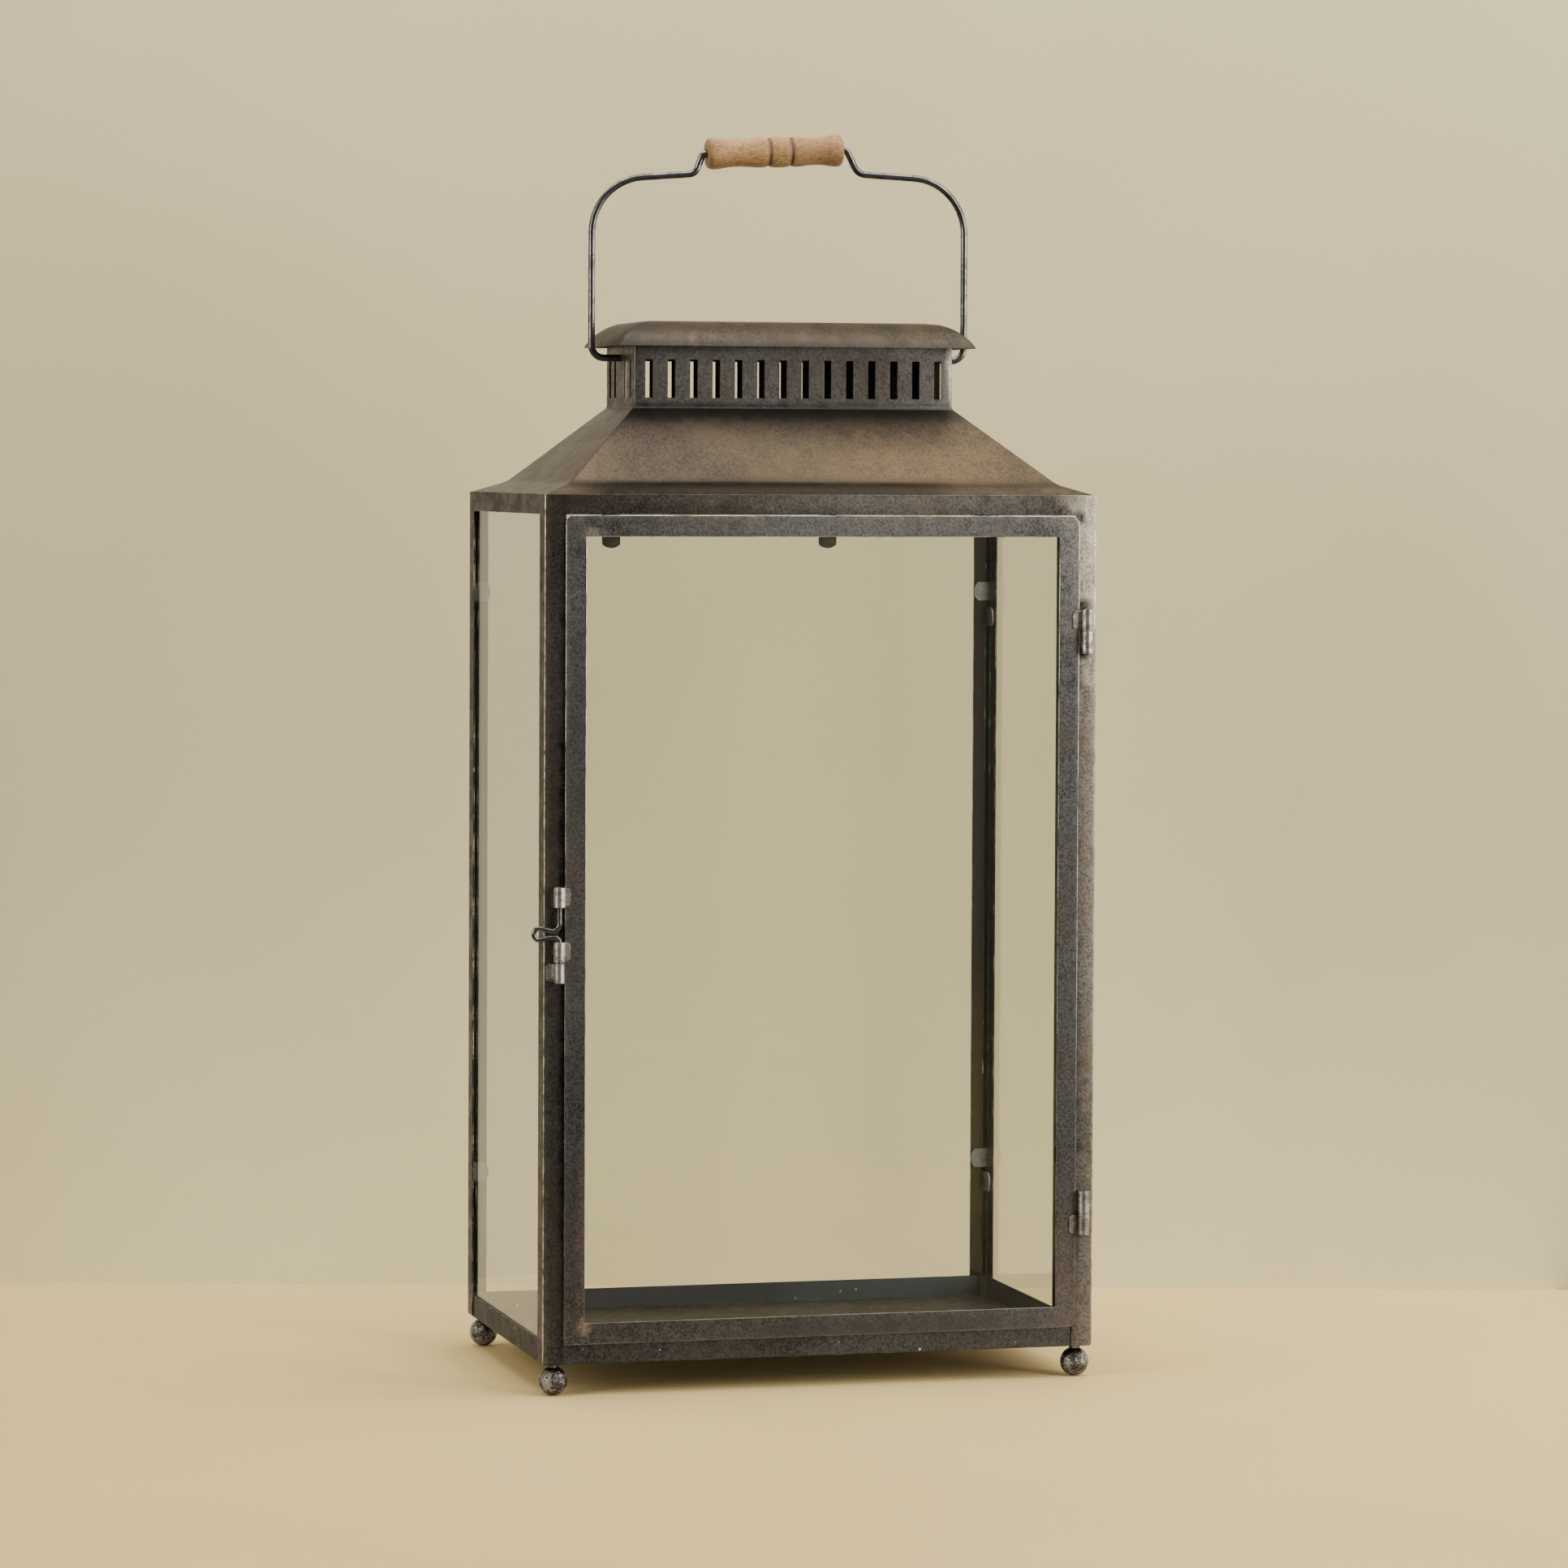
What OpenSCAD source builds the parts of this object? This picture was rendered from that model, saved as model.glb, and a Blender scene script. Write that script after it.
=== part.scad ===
// Rectangular candle lantern of folded sheet steel: corner posts, a base tray on ball
// feet, a concave hipped roof, a slotted ventilator, a wire bail with a turned grip and
// a glazed door with rolled hinges and a sliding wire bolt.
// Millimetres, +Z up, front towards -Y. The origin is the middle of the case, on the
// surface that the feet stand on.

/* [Case] */
// Width of the case over the corner posts
case_w = 360; // [330:1:400]
// Depth of the case over the corner posts
case_d = 226; // [200:1:260]
// Length of the corner posts
post_h = 542.5; // [460:0.5:620]
// Thickness of the sheet of posts, rails and tray
sheet_t = 1; // [0.8:0.1:1.3]
// Outer radius of the bends in posts and rails
bend_r = 1.6; // [1.4:0.1:2.5]
// Width of each leg of a corner post
post_leg = 14; // [12:0.5:17]
// Height of a top rail's face
top_rail_h = 12.7; // [11:0.1:16]
// Width of a top rail's inward leg
top_rail_leg = 13; // [12:0.5:18]
// Height of the tray's upstands, floor included
tray_h = 14.5; // [11:0.5:20]
// Distance from the tray's underside up to the posts' lower ends
post_lift = 0.7; // [0:0.1:2]

/* [Feet] */
// Diameter of a ball foot
foot_d = 18.4; // [14:0.2:24]
// Diameter of a foot's stem
foot_stem_d = 7; // [5:0.5:9]
// Length of stem that shows between ball and tray
foot_stem_h = 1.6; // [0.8:0.1:3]
// Distance from the case's faces to a foot's centre
foot_inset = 9; // [8:0.5:14]

/* [Roof] */
// Height from the eave to the neck
roof_rise = 55; // [45:1:70]
// Plan distance from the case's face to the neck
roof_run = 74.6; // [66:0.2:82]
// Plan width of the flatter lip along the eave
lip_run = 20.5; // [14:0.5:26]
// Height that the lip climbs
lip_rise = 6.8; // [4:0.2:10]
// Radius of the bend between the lip and the slope
roof_bend_r = 16; // [8:1:24]
// Distance from the case's face back to the lip's edge
eave_setback = 1.2; // [0.6:0.1:2]
// Thickness of the roof's sheet
roof_t = 1; // [0.8:0.1:1.4]

/* [Ventilator] */
// Height of the neck that shows between roof and cap
neck_h = 38.6; // [34:0.2:46]
// Thickness of the neck's sheet
neck_t = 1; // [0.8:0.1:1.4]
// Width of a slot
slot_w = 4.8; // [3:0.2:6]
// Height of a slot
slot_h = 24.2; // [16:0.2:26]
// Plain wall between the roof and the slots
slot_base = 6; // [4:0.5:8]
// Spacing of the slots in the front and rear walls
slot_pitch = 14.7; // [12:0.1:20]
// Spacing of the slots in the end walls
end_slot_pitch = 13.9; // [12:0.1:18]
// Least plain wall between a slot and the neck's corner
slot_margin = 7; // [4:0.5:10]
// How far the rear wall's row of slots sits off towards the hinge side
slot_rear_shift = 1.6; // [0:0.1:2]
// Overhang of the cap past the neck
cap_overhang = 12.6; // [10:0.2:16]
// Height of the cap from its edge to its flat top
cap_rise = 16.4; // [13:0.2:20]
// Radius of the cap's rounded sides
cap_side_r = 30; // [24:0.5:36]
// Thickness of the cap's sheet
cap_t = 1; // [0.8:0.1:1.4]

/* [Bail] */
// Diameter of the bail's wire
bail_d = 4.5; // [4:0.1:5.5]
// Gap between the cap's ends and the bail's legs
bail_side_gap = 4.05; // [2:0.05:8]
// Distance from the cap's edge down to the bail's pivots
pivot_drop = 7.1; // [6:0.1:8]
// Height from the pivots to the inner ends of the bail's top runs
bail_h = 119.4; // [100:0.2:150]
// Fall of the top runs from there to the bail's corners
bail_fall = 4.6; // [0:0.1:8]
// How far the bail's top leans up towards the hinge side
bail_lean = 1.5; // [0:0.1:3]
// Height of the grip's axis above the top runs
crank_lift = 14.1; // [12:0.1:20]
// Shift of the grip's straight towards the latch side
crank_shift = 3.3; // [0:0.1:6]
// Radius of the bail's upper corners
bail_corner_r = 36; // [20:1:45]
// Radius of the bends at the pivots
bail_foot_r = 8; // [6:0.5:9]
// Length of wire inside the neck past its wall
bail_foot_in = 7; // [4:0.5:12]
// Radial clearance of the wire in the neck's holes
pivot_gap = 0.1; // [0.05:0.01:0.1]

/* [Grip] */
// Length of the wooden grip
grip_l = 90; // [70:1:100]
// Largest diameter of the grip
grip_d = 20.6; // [17:0.2:26]
// Radial clearance of the wire in the grip's bore
grip_gap = 0.7; // [0.4:0.1:0.9]
// End play of the grip between the bends of the bail
grip_play = 2; // [1:0.1:5]
// Tilt of the grip and of its wire, up towards the hinge side
grip_tilt = 2.3; // [0:0.1:4]
// Shift of the grip's bead from its middle, as a share of half its length
grip_bead_shift = 0.08; // [0:0.01:0.12]

/* [Door] */
// Width of the door's stiles and rails
door_member_w = 13.4; // [11:0.2:16]
// Thickness of the door's sheet
door_t = 1; // [0.8:0.1:1.4]
// Depth of the rebate web behind the door's face
door_web_d = 11; // [9:0.5:12]
// Width of the lip in front of the door's pane
door_lip = 1.5; // [1:0.1:3]
// Gap between the door's back and the posts
door_gap = 0.3; // [0.2:0.05:0.5]
// Gap between the door's top edge and the top rail
door_top_gap = 0.3; // [0.2:0.1:1]
// Lap of the door over the tray's front upstand
door_bottom_lap = 2; // [0.5:0.1:4]
// Lap of the door over the latch side's post
door_post_lap = 0.6; // [0:0.1:3]
// Bevel of the door's upper corner on the latch side
door_corner = 3.2; // [1:0.2:3.6]

/* [Glass] */
// Thickness of the panes
glass_t = 2; // [1.8:0.1:3]
// Edge clearance of a pane
glass_gap = 0.3; // [0.2:0.05:0.5]
// Width of a glass tab
tab_w = 12.3; // [9:0.1:14]
// Length of a glass tab, from the post's inner face
tab_l = 13.6; // [12.5:0.1:18]
// Thickness of tabs, door stops and clips
tab_t = 0.8; // [0.6:0.1:1]
// Radius of the rounded free end of a tab
tab_tip_r = 8; // [7.2:0.2:12]
// Distance from a post's end to the rear pane's tabs
rear_tab_inset = 80; // [70:1:120]
// Distance from a post's end to a side pane's tabs
side_tab_inset = 62; // [52:1:63]
// How much higher than evenly the rear pane's tabs sit
rear_tab_shift = 14; // [0:1:20]
// How much higher than evenly the side panes' lower tabs sit
side_tab_low_shift = 16; // [0:1:20]
// How much lower than evenly the side panes' upper tabs sit
side_tab_high_shift = 21; // [0:1:24]

/* [Hinges] */
// Outside diameter of the knuckles
knuckle_od = 7.4; // [6.6:0.1:8.4]
// Diameter of the hinge pins
pin_d = 4.6; // [3.5:0.1:5]
// Radial clearance of a pin in a door knuckle
pin_gap = 0.05; // [0.02:0.01:0.1]
// Distance from the case's side to the hinge axis
hinge_inset = 7.6; // [6.6:0.1:8.4]
// Gap between the door's edge and the knuckles
door_hinge_gap = 0.7; // [0.5:0.1:1.5]
// Length of a knuckle on the door
door_knuckle_l = 13.4; // [9:0.2:18]
// Length of a knuckle on the post
post_knuckle_l = 14.2; // [9:0.2:18]
// Gap between the two knuckles of a hinge
knuckle_gap = 0.4; // [0.3:0.1:0.8]
// Distance from the door's end to each hinge
hinge_offset = 73; // [50:1:110]
// Thickness of the hinge and latch leaves
leaf_t = 0.9; // [0.7:0.05:1.1]
// Reach of a door leaf past the door's edge, onto its face
door_leaf_w = 4.6; // [3:0.1:8]
// Gap between the case's face and the knuckles and sleeves in front of it
axis_standoff = 0.35; // [0.3:0.05:0.6]

/* [Latch] */
// Diameter of the bolt's wire
bolt_d = 3.2; // [2.8:0.1:3.6]
// Radial clearance of the bolt in sleeves and keeper
bolt_gap = 0.3; // [0.2:0.05:0.5]
// Outside diameter of the sleeves
sleeve_od = 7.4; // [6.6:0.1:8.4]
// Outside diameter of the keeper's tube
keeper_od = 6.6; // [6.2:0.1:7.4]
// Length of a sleeve and of the keeper
sleeve_l = 12.4; // [10:0.2:16]
// Reach of a sleeve's leaf past the door's edge, onto its face
sleeve_leaf_w = 3.4; // [2:0.1:6]
// Gap between the door's edge and the sleeves
sleeve_side_gap = 0.4; // [0.3:0.1:1]
// Free height between the two sleeves
sleeve_span = 21.7; // [20:0.1:30]
// Gap between the lower sleeve and the keeper
keeper_gap = 0.7; // [0.3:0.1:1.5]
// Distance from the door's middle height down to the finger loop
latch_drop = 1.2; // [-20:0.2:20]
// Reach of the finger loop from the bolt's axis
loop_reach = 16.3; // [12:0.1:24]
// Height of the finger loop between the wire's centres
loop_h = 9.2; // [8.4:0.1:11]
// Length of bolt in the keeper when it is shot
bolt_engagement = 8.5; // [5:0.5:9]
// Depth of the bolt's head below the upper sleeve's mouth
bolt_head_drop = 1.5; // [0.5:0.1:4]

/* [Door stops] */
// Width of a door stop
stop_w = 11.5; // [8:0.5:15]
// Length that a stop hangs below the door's upper web
stop_hang = 8.8; // [4:0.2:14]
// Distance of the first stop from the middle, towards the latch
stop_a_x = 135; // [90:1:140]
// Distance of the second stop from the middle, towards the hinges
stop_b_x = 5; // [-20:1:60]
// Gap between a stop and the door's web
stop_gap = 0.4; // [0.3:0.1:1]
// Length of a stop's foot under the top rail
stop_foot_l = 8; // [5:0.5:10]

/* [Hidden] */
$fn = 48;

half_w = case_w / 2;
half_d = case_d / 2;

// Heights
tray_z = foot_d + foot_stem_h;
tray_top = tray_z + tray_h;
floor_z = tray_z + sheet_t;
post_z = tray_z + post_lift;
eave_z = post_z + post_h;
top_rail_z = eave_z - top_rail_h;
neck_z = eave_z + roof_rise;
cap_z = neck_z + neck_h;
pivot_z = cap_z - pivot_drop;
bail_top_z = pivot_z + bail_h;
grip_z = bail_top_z + crank_lift;

// Ventilator
neck_w = case_w - 2 * roof_run;
neck_d = case_d - 2 * roof_run;
neck_corner_r = 1.5 * neck_t;
neck_skirt = 5;
cap_w = neck_w + 2 * cap_overhang;
cap_d = neck_d + 2 * cap_overhang;
cap_side_run = sqrt(pow(cap_side_r, 2) - pow(cap_side_r - cap_rise, 2));
slot_count = floor((neck_w - 2 * slot_margin - slot_w) / slot_pitch) + 1;
end_slot_count = floor((neck_d / 2 - slot_margin - slot_w / 2) / end_slot_pitch);

// Roof profile: the lip's slope, the main slope and the bend between them
lip_angle = atan2(lip_rise, lip_run);
slope_angle = atan2(roof_rise - lip_rise, roof_run - lip_run);
bend_steps = 12;

// Bail
leg_x = cap_w / 2 + bail_side_gap + bail_d / 2;
// The bends on the latch side and on the hinge side
crank_angles = [69, 64];
crank_low_r = [6.5, 9];
crank_high_r = 3;
crank_tangent = crank_high_r * tan(max(crank_angles) / 2);
crank_half = grip_l / 2 + grip_play / 2 + crank_tangent;
// The grip has slid along the wire until it nearly meets the bend on the latch side
grip_rest_gap = 0.4;
grip_slide = -grip_play / 2 + grip_rest_gap;

// Turned profile of the grip: distance from its middle as a share of half its length,
// and diameter as a share of the largest
grip_stations = [
    [0, 0.975], [0.06, 0.968], [0.11, 0.94], [0.14, 0.9], [0.155, 0.84], [0.17, 0.84],
    [0.185, 0.9], [0.22, 0.935], [0.27, 0.95], [0.34, 0.935], [0.43, 0.895], [0.53, 0.868],
    [0.62, 0.868], [0.71, 0.895], [0.79, 0.95], [0.85, 0.985], [0.9, 1], [0.94, 0.985],
    [0.97, 0.93], [0.99, 0.84], [1, 0.7]
];

// Door, in the closed position
door_back_y = -half_d - door_gap;
door_face_y = door_back_y - door_t;
door_web_y = door_back_y + door_web_d;
hinge_x = half_w - hinge_inset;
axis_y = -half_d - knuckle_od / 2 - axis_standoff;
door_x0 = -(half_w - post_leg) - door_post_lap;
door_x1 = hinge_x - knuckle_od / 2 - door_hinge_gap;
door_z0 = tray_top - door_bottom_lap;
door_z1 = top_rail_z - door_top_gap;
pane_x0 = door_x0 + door_member_w - door_lip;
pane_x1 = door_x1 - door_member_w + door_lip;
pane_z0 = door_z0 + door_member_w - door_lip;
pane_z1 = door_z1 - door_member_w + door_lip;
// The door's other corners, next to its upper corner on the latch side
corner_low_a = 0.5 * door_corner;
corner_low_b = 1.4 * door_corner;
corner_high_b = 1.25 * door_corner;
clip_l = 10;
clip_w = 1.4;
// Places of the clips along each side, as shares of its length
clip_places = [0.2, 0.8];

// Hinges
hinge_top_z = door_z1 - hinge_offset;
hinge_bottom_z = door_z0 + hinge_offset;
pin_end = 0.4;
// Height of a hinge leaf as a share of its knuckle, and how far the leaf runs into it
leaf_share = 0.86;
leaf_root = 0.5;

// Latch
latch_x = door_x0 - sleeve_od / 2 - sleeve_side_gap;
latch_y = -half_d - sleeve_od / 2 - axis_standoff;
loop_z = (door_z0 + door_z1) / 2 - latch_drop;
pinch_h = 4.1;
pinch_share = 0.4;
loop_end_r = 0.38 * loop_h;
bolt_upper_r = 4.4;
bolt_pinch_r = 6;
bolt_lower_r = 3;
upper_run_rise = 0.4;
lower_run_drop = 0.3;
lower_run_z = loop_z - pinch_h / 2 - lower_run_drop;
latch_leaf_share = 0.9;
sleeve_low_z = lower_run_z - bolt_lower_r - sleeve_l;
sleeve_high_z = sleeve_low_z + sleeve_l + sleeve_span;
keeper_z = sleeve_low_z - keeper_gap - sleeve_l;
bolt_tip_z = keeper_z + sleeve_l - bolt_engagement;
bolt_head_z = sleeve_high_z + sleeve_l - bolt_head_drop;

// Panes of the case stand inside the tray's upstands
rear_pane_y = half_d - 2 * sheet_t;
side_pane_x = half_w - 2 * sheet_t;
pane_tab_gap = 1;
pane_corner_gap = 2;
side_pane_y = rear_pane_y - glass_t - tab_t - pane_tab_gap;
rear_pane_half = side_pane_x - glass_t - pane_corner_gap;
case_pane_top = eave_z - sheet_t - glass_gap;

// Bent wire: how much thicker the bends are, and how far the straight runs reach into them
bend_swell = 0.02;
run_reach = 0.2;

steel = [0.21, 0.20, 0.19];
slope_steel = [0.33, 0.28, 0.23];
bright_steel = [0.50, 0.48, 0.45];
wood = [0.62, 0.40, 0.20];
clear = [0.80, 0.86, 0.82, 0.35];

// L section with a rounded outer corner at the origin, one leg along +X, one along +Y
module angle_section(leg_x_l, leg_y_l) {
    translate([bend_r, 0])
        square([leg_x_l - bend_r, sheet_t]);
    translate([0, bend_r])
        square([sheet_t, leg_y_l - bend_r]);
    intersection() {
        square(bend_r);
        translate([bend_r, bend_r])
            difference() {
                circle(r = bend_r);
                circle(r = bend_r - sheet_t);
            }
    }
}

// Corner post, built for the front left and mirrored to the others
module post(side_x, side_y) {
    color(steel)
        mirror([side_x > 0 ? 1 : 0, 0, 0])
            mirror([0, side_y > 0 ? 1 : 0, 0])
                translate([-half_w, -half_d, post_z])
                    linear_extrude(post_h)
                        angle_section(post_leg, post_leg);
}

// Top rail on the -Y side, its inward leg on top and mitred where it meets the next one
module top_rail(width, depth) {
    length = width - 2 * post_leg;
    translate([0, 0, eave_z])
        intersection() {
            translate([-length / 2, -depth / 2, 0])
                rotate([90, 0, 90])
                    linear_extrude(length)
                        mirror([0, 1])
                            angle_section(top_rail_leg, top_rail_h);
            translate([0, 0, -top_rail_h - 1])
                linear_extrude(top_rail_h + 2)
                    mitred_plan(width, depth, top_rail_leg + 1);
        }
}

module top_rail_long(side_y) {
    color(steel)
        rotate([0, 0, side_y > 0 ? 180 : 0])
            top_rail(case_w, case_d);
}

module top_rail_short(side_x) {
    color(steel)
        rotate([0, 0, side_x > 0 ? 90 : -90])
            top_rail(case_d, case_w);
}

// One sheet folded up on four sides, inside the posts
module base_tray() {
    color(steel)
        difference() {
            translate([-half_w + sheet_t, -half_d + sheet_t, tray_z])
                cube([case_w - 2 * sheet_t, case_d - 2 * sheet_t, tray_h]);
            translate([-half_w + 2 * sheet_t, -half_d + 2 * sheet_t, floor_z])
                cube([case_w - 4 * sheet_t, case_d - 4 * sheet_t, tray_h]);
        }
}

module ball_feet() {
    color(bright_steel)
        for (x = [-1, 1], y = [-1, 1])
            translate([x * (half_w - foot_inset), y * (half_d - foot_inset), 0]) {
                translate([0, 0, foot_d / 2])
                    sphere(d = foot_d);
                translate([0, 0, foot_d / 2])
                    cylinder(h = foot_d / 2 + foot_stem_h, d = foot_stem_d);
            }
}

// Outer line of the roof's profile as [inset, height], moved inwards by depth
function roof_line(depth) = let (
    turn = slope_angle - lip_angle,
    tangent = roof_bend_r * tan(turn / 2),
    lip_dir = [cos(lip_angle), sin(lip_angle)],
    slope_dir = [cos(slope_angle), sin(slope_angle)],
    start = [eave_setback, 0] - depth * [-sin(lip_angle), cos(lip_angle)],
    corner = [lip_run, lip_rise],
    centre = corner - tangent * lip_dir + roof_bend_r * [-sin(lip_angle), cos(lip_angle)],
    top = [roof_run, roof_rise] - depth * [0, 1 / cos(slope_angle)]
) concat(
    [start],
    [for (i = [0 : bend_steps])
        let (a = lip_angle + turn * i / bend_steps)
            centre + (roof_bend_r + depth) * [sin(a), -cos(a)]],
    [top]
);

// Sheet profile, its lower end cut flat on the rails
module roof_profile() {
    outer = roof_line(0);
    inner = roof_line(roof_t);
    back = [for (i = [len(inner) - 1 : -1 : 0]) inner[i]];
    intersection() {
        polygon(concat(outer, back));
        square([roof_run, roof_rise]);
    }
}

// Plan of one roof panel or rail on the -Y side, mitred at 45 degrees at both ends
module mitred_plan(width, depth, run) {
    polygon([
        [-width / 2, -depth / 2],
        [width / 2, -depth / 2],
        [width / 2 - run, -depth / 2 + run],
        [-width / 2 + run, -depth / 2 + run]
    ]);
}

module roof_panel(width, depth) {
    intersection() {
        translate([width / 2, -depth / 2, 0])
            rotate([90, 0, -90])
                linear_extrude(width)
                    mirror([1, 0])
                        roof_profile();
        linear_extrude(roof_rise)
            mitred_plan(width, depth, roof_run);
    }
}

module roof_long(side_y) {
    color(slope_steel)
        translate([0, 0, eave_z])
            rotate([0, 0, side_y > 0 ? 180 : 0])
                roof_panel(case_w, case_d);
}

module roof_short(side_x) {
    color(slope_steel)
        translate([0, 0, eave_z])
            rotate([0, 0, side_x > 0 ? 90 : -90])
                roof_panel(case_d, case_w);
}

module rounded_rect(width, depth, r) {
    for (x = [-1, 1], y = [-1, 1])
        translate([x * (width / 2 - r), y * (depth / 2 - r)])
            circle(r = r);
    square([width - 2 * r, depth], center = true);
    square([width, depth - 2 * r], center = true);
}

// Side profile of the domed cap from its edge up, set inwards by depth
module cap_profile(width, depth) {
    flat = width / 2 - cap_side_run;
    translate([-flat, 0])
        square([2 * flat, cap_rise - depth]);
    intersection() {
        translate([-width / 2, 0])
            square([width, cap_rise]);
        for (x = [-flat, flat])
            translate([x, cap_rise - cap_side_r])
                circle(r = cap_side_r - depth);
    }
}

// Two crossed profiles give a dome with mitred corners
module cap_block(depth) {
    translate([0, 0, cap_z])
        intersection() {
            rotate([90, 0, 0])
                linear_extrude(cap_d, center = true)
                    cap_profile(cap_w, depth);
            rotate([90, 0, 90])
                linear_extrude(cap_w, center = true)
                    cap_profile(cap_d, depth);
        }
}

module vent_cap() {
    color(slope_steel)
        difference() {
            cap_block(0);
            cap_block(cap_t);
        }
}

module slot(width_x, width_y) {
    translate([-width_x / 2, -width_y / 2, neck_z + slot_base])
        cube([width_x, width_y, slot_h]);
}

// Folded collar, soldered into the roof's opening and up against the cap
module vent_neck() {
    color(steel)
        difference() {
            union() {
                translate([0, 0, neck_z - neck_skirt])
                    linear_extrude(neck_skirt + neck_h)
                        neck_plan();
                intersection() {
                    translate([0, 0, cap_z])
                        linear_extrude(cap_rise)
                            neck_plan();
                    cap_block(cap_t);
                }
            }
            for (i = [0 : slot_count - 1])
                for (side = [-1, 1])
                    translate([
                        (i - (slot_count - 1) / 2) * slot_pitch + (side > 0 ? slot_rear_shift : 0),
                        side * neck_d / 2, 0
                    ])
                        slot(slot_w, 4 * neck_t);
            for (i = [1 : end_slot_count], side = [-1, 1])
                translate([0, side * i * end_slot_pitch, 0])
                    slot(neck_w + 2, slot_w);
            translate([-neck_w / 2 - 1, 0, pivot_z])
                rotate([0, 90, 0])
                    cylinder(h = neck_w + 2, d = bail_d + 2 * pivot_gap);
        }
}

module neck_plan() {
    difference() {
        rounded_rect(neck_w, neck_d, neck_corner_r);
        rounded_rect(neck_w - 2 * neck_t, neck_d - 2 * neck_t, neck_corner_r - neck_t);
    }
}

function unit(v) = v / norm(v);
function turn_angle(u, v) = atan2(u[0] * v[1] - u[1] * v[0], u * v);
function corner_turn(points, i) =
    turn_angle(unit(points[i] - points[i - 1]), unit(points[i + 1] - points[i]));
function corner_tangent(points, radii, i) =
    radii[i] * tan(abs(corner_turn(points, i)) / 2);

// Round wire along a flat path, each inner corner bent to its radius. A bend is a hair
// thicker than the runs, which reach a little way into it.
module bent_wire(points, radii, diameter) {
    last = len(points) - 1;
    for (i = [0 : last - 1]) {
        dir = unit(points[i + 1] - points[i]);
        from = i == 0
            ? points[0]
            : points[i] + dir * (corner_tangent(points, radii, i) - run_reach);
        to = i == last - 1
            ? points[last]
            : points[i + 1] - dir * (corner_tangent(points, radii, i + 1) - run_reach);
        translate([from[0], from[1], 0])
            rotate([0, 0, atan2(dir[1], dir[0])])
                rotate([0, 90, 0])
                    cylinder(h = norm(to - from), d = diameter);
    }
    for (i = [1 : last - 1]) {
        dir = unit(points[i] - points[i - 1]);
        turn = corner_turn(points, i);
        side = turn > 0 ? 1 : -1;
        start = points[i] - dir * corner_tangent(points, radii, i);
        centre = start + side * radii[i] * [-dir[1], dir[0]];
        first = atan2(start[1] - centre[1], start[0] - centre[0]);
        translate([centre[0], centre[1], 0])
            rotate([0, 0, turn > 0 ? first : first + turn])
                rotate_extrude(angle = abs(turn))
                    translate([radii[i], 0])
                        circle(d = diameter + 2 * bend_swell);
    }
}

module bail_wire() {
    foot_x = neck_w / 2 - neck_t - bail_foot_in;
    reach = crank_half * [cos(grip_tilt), sin(grip_tilt)];
    high_a = [-crank_shift, grip_z] - reach;
    high_b = [-crank_shift, grip_z] + reach;
    low_a = bail_top_z - bail_lean / 2;
    low_b = bail_top_z + bail_lean / 2;
    color(bright_steel)
        rotate([90, 0, 0])
            bent_wire(
                [
                    [-foot_x, pivot_z],
                    [-leg_x, pivot_z],
                    [-leg_x, bail_top_z - bail_fall - bail_lean],
                    [high_a[0] - (high_a[1] - low_a) / tan(crank_angles[0]), low_a],
                    high_a,
                    high_b,
                    [high_b[0] + (high_b[1] - low_b) / tan(crank_angles[1]), low_b],
                    [leg_x, bail_top_z - bail_fall + bail_lean],
                    [leg_x, pivot_z],
                    [foot_x, pivot_z]
                ],
                [
                    0, bail_foot_r, bail_corner_r, crank_low_r[0], crank_high_r,
                    crank_high_r, crank_low_r[1], bail_corner_r, bail_foot_r, 0
                ],
                bail_d
            );
}

module bail_grip() {
    half = grip_l / 2;
    bead = grip_bead_shift * half;
    right = [for (s = grip_stations) [s[1] * grip_d / 2, bead + s[0] * (half - bead)]];
    left = [for (i = [len(grip_stations) - 1 : -1 : 1])
        [grip_stations[i][1] * grip_d / 2, bead - grip_stations[i][0] * (half + bead)]];
    bore_r = bail_d / 2 + grip_gap;
    color(wood)
        translate([-crank_shift, 0, grip_z])
            rotate([0, -grip_tilt, 0])
                translate([grip_slide, 0, 0])
                    rotate([0, 90, 0])
                        rotate_extrude()
                            polygon(concat([[bore_r, -half]], left, right, [[bore_r, half]]));
}

// The door's corners are cut by hand: the lower ones rounded, the upper ones straight
module door_outline() {
    polygon([
        [door_x0, door_z0 + corner_low_a],
        [door_x0 + corner_low_a, door_z0],
        [door_x1 - corner_low_b, door_z0],
        for (turn = [-67.5 : 22.5 : -22.5])
            [door_x1 - corner_low_b, door_z0 + corner_low_b] + corner_low_b * [cos(turn), sin(turn)],
        [door_x1, door_z0 + corner_low_b],
        [door_x1, door_z1 - corner_high_b],
        [door_x1 - corner_high_b, door_z1],
        [door_x0 + door_corner, door_z1],
        [door_x0, door_z1 - door_corner]
    ]);
}

// Bevelled door face between two widths
module door_face_part(x_from, x_to, z_from, z_to) {
    translate([0, door_back_y, 0])
        rotate([90, 0, 0])
            linear_extrude(door_t)
                intersection() {
                    door_outline();
                    translate([x_from, z_from])
                        square([x_to - x_from, z_to - z_from]);
                }
}

module door_web(x_from, x_to, z_from, z_to) {
    translate([x_from, door_back_y, z_from])
        cube([x_to - x_from, door_web_d, z_to - z_from]);
}

module door_stile_latch() {
    color(steel) {
        door_face_part(door_x0, door_x0 + door_member_w, door_z0, door_z1);
        door_web(pane_x0 - door_t, pane_x0, pane_z0 - door_t, pane_z1 + door_t);
    }
}

module door_stile_hinge() {
    color(steel) {
        door_face_part(door_x1 - door_member_w, door_x1, door_z0, door_z1);
        door_web(pane_x1, pane_x1 + door_t, pane_z0 - door_t, pane_z1 + door_t);
    }
}

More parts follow.
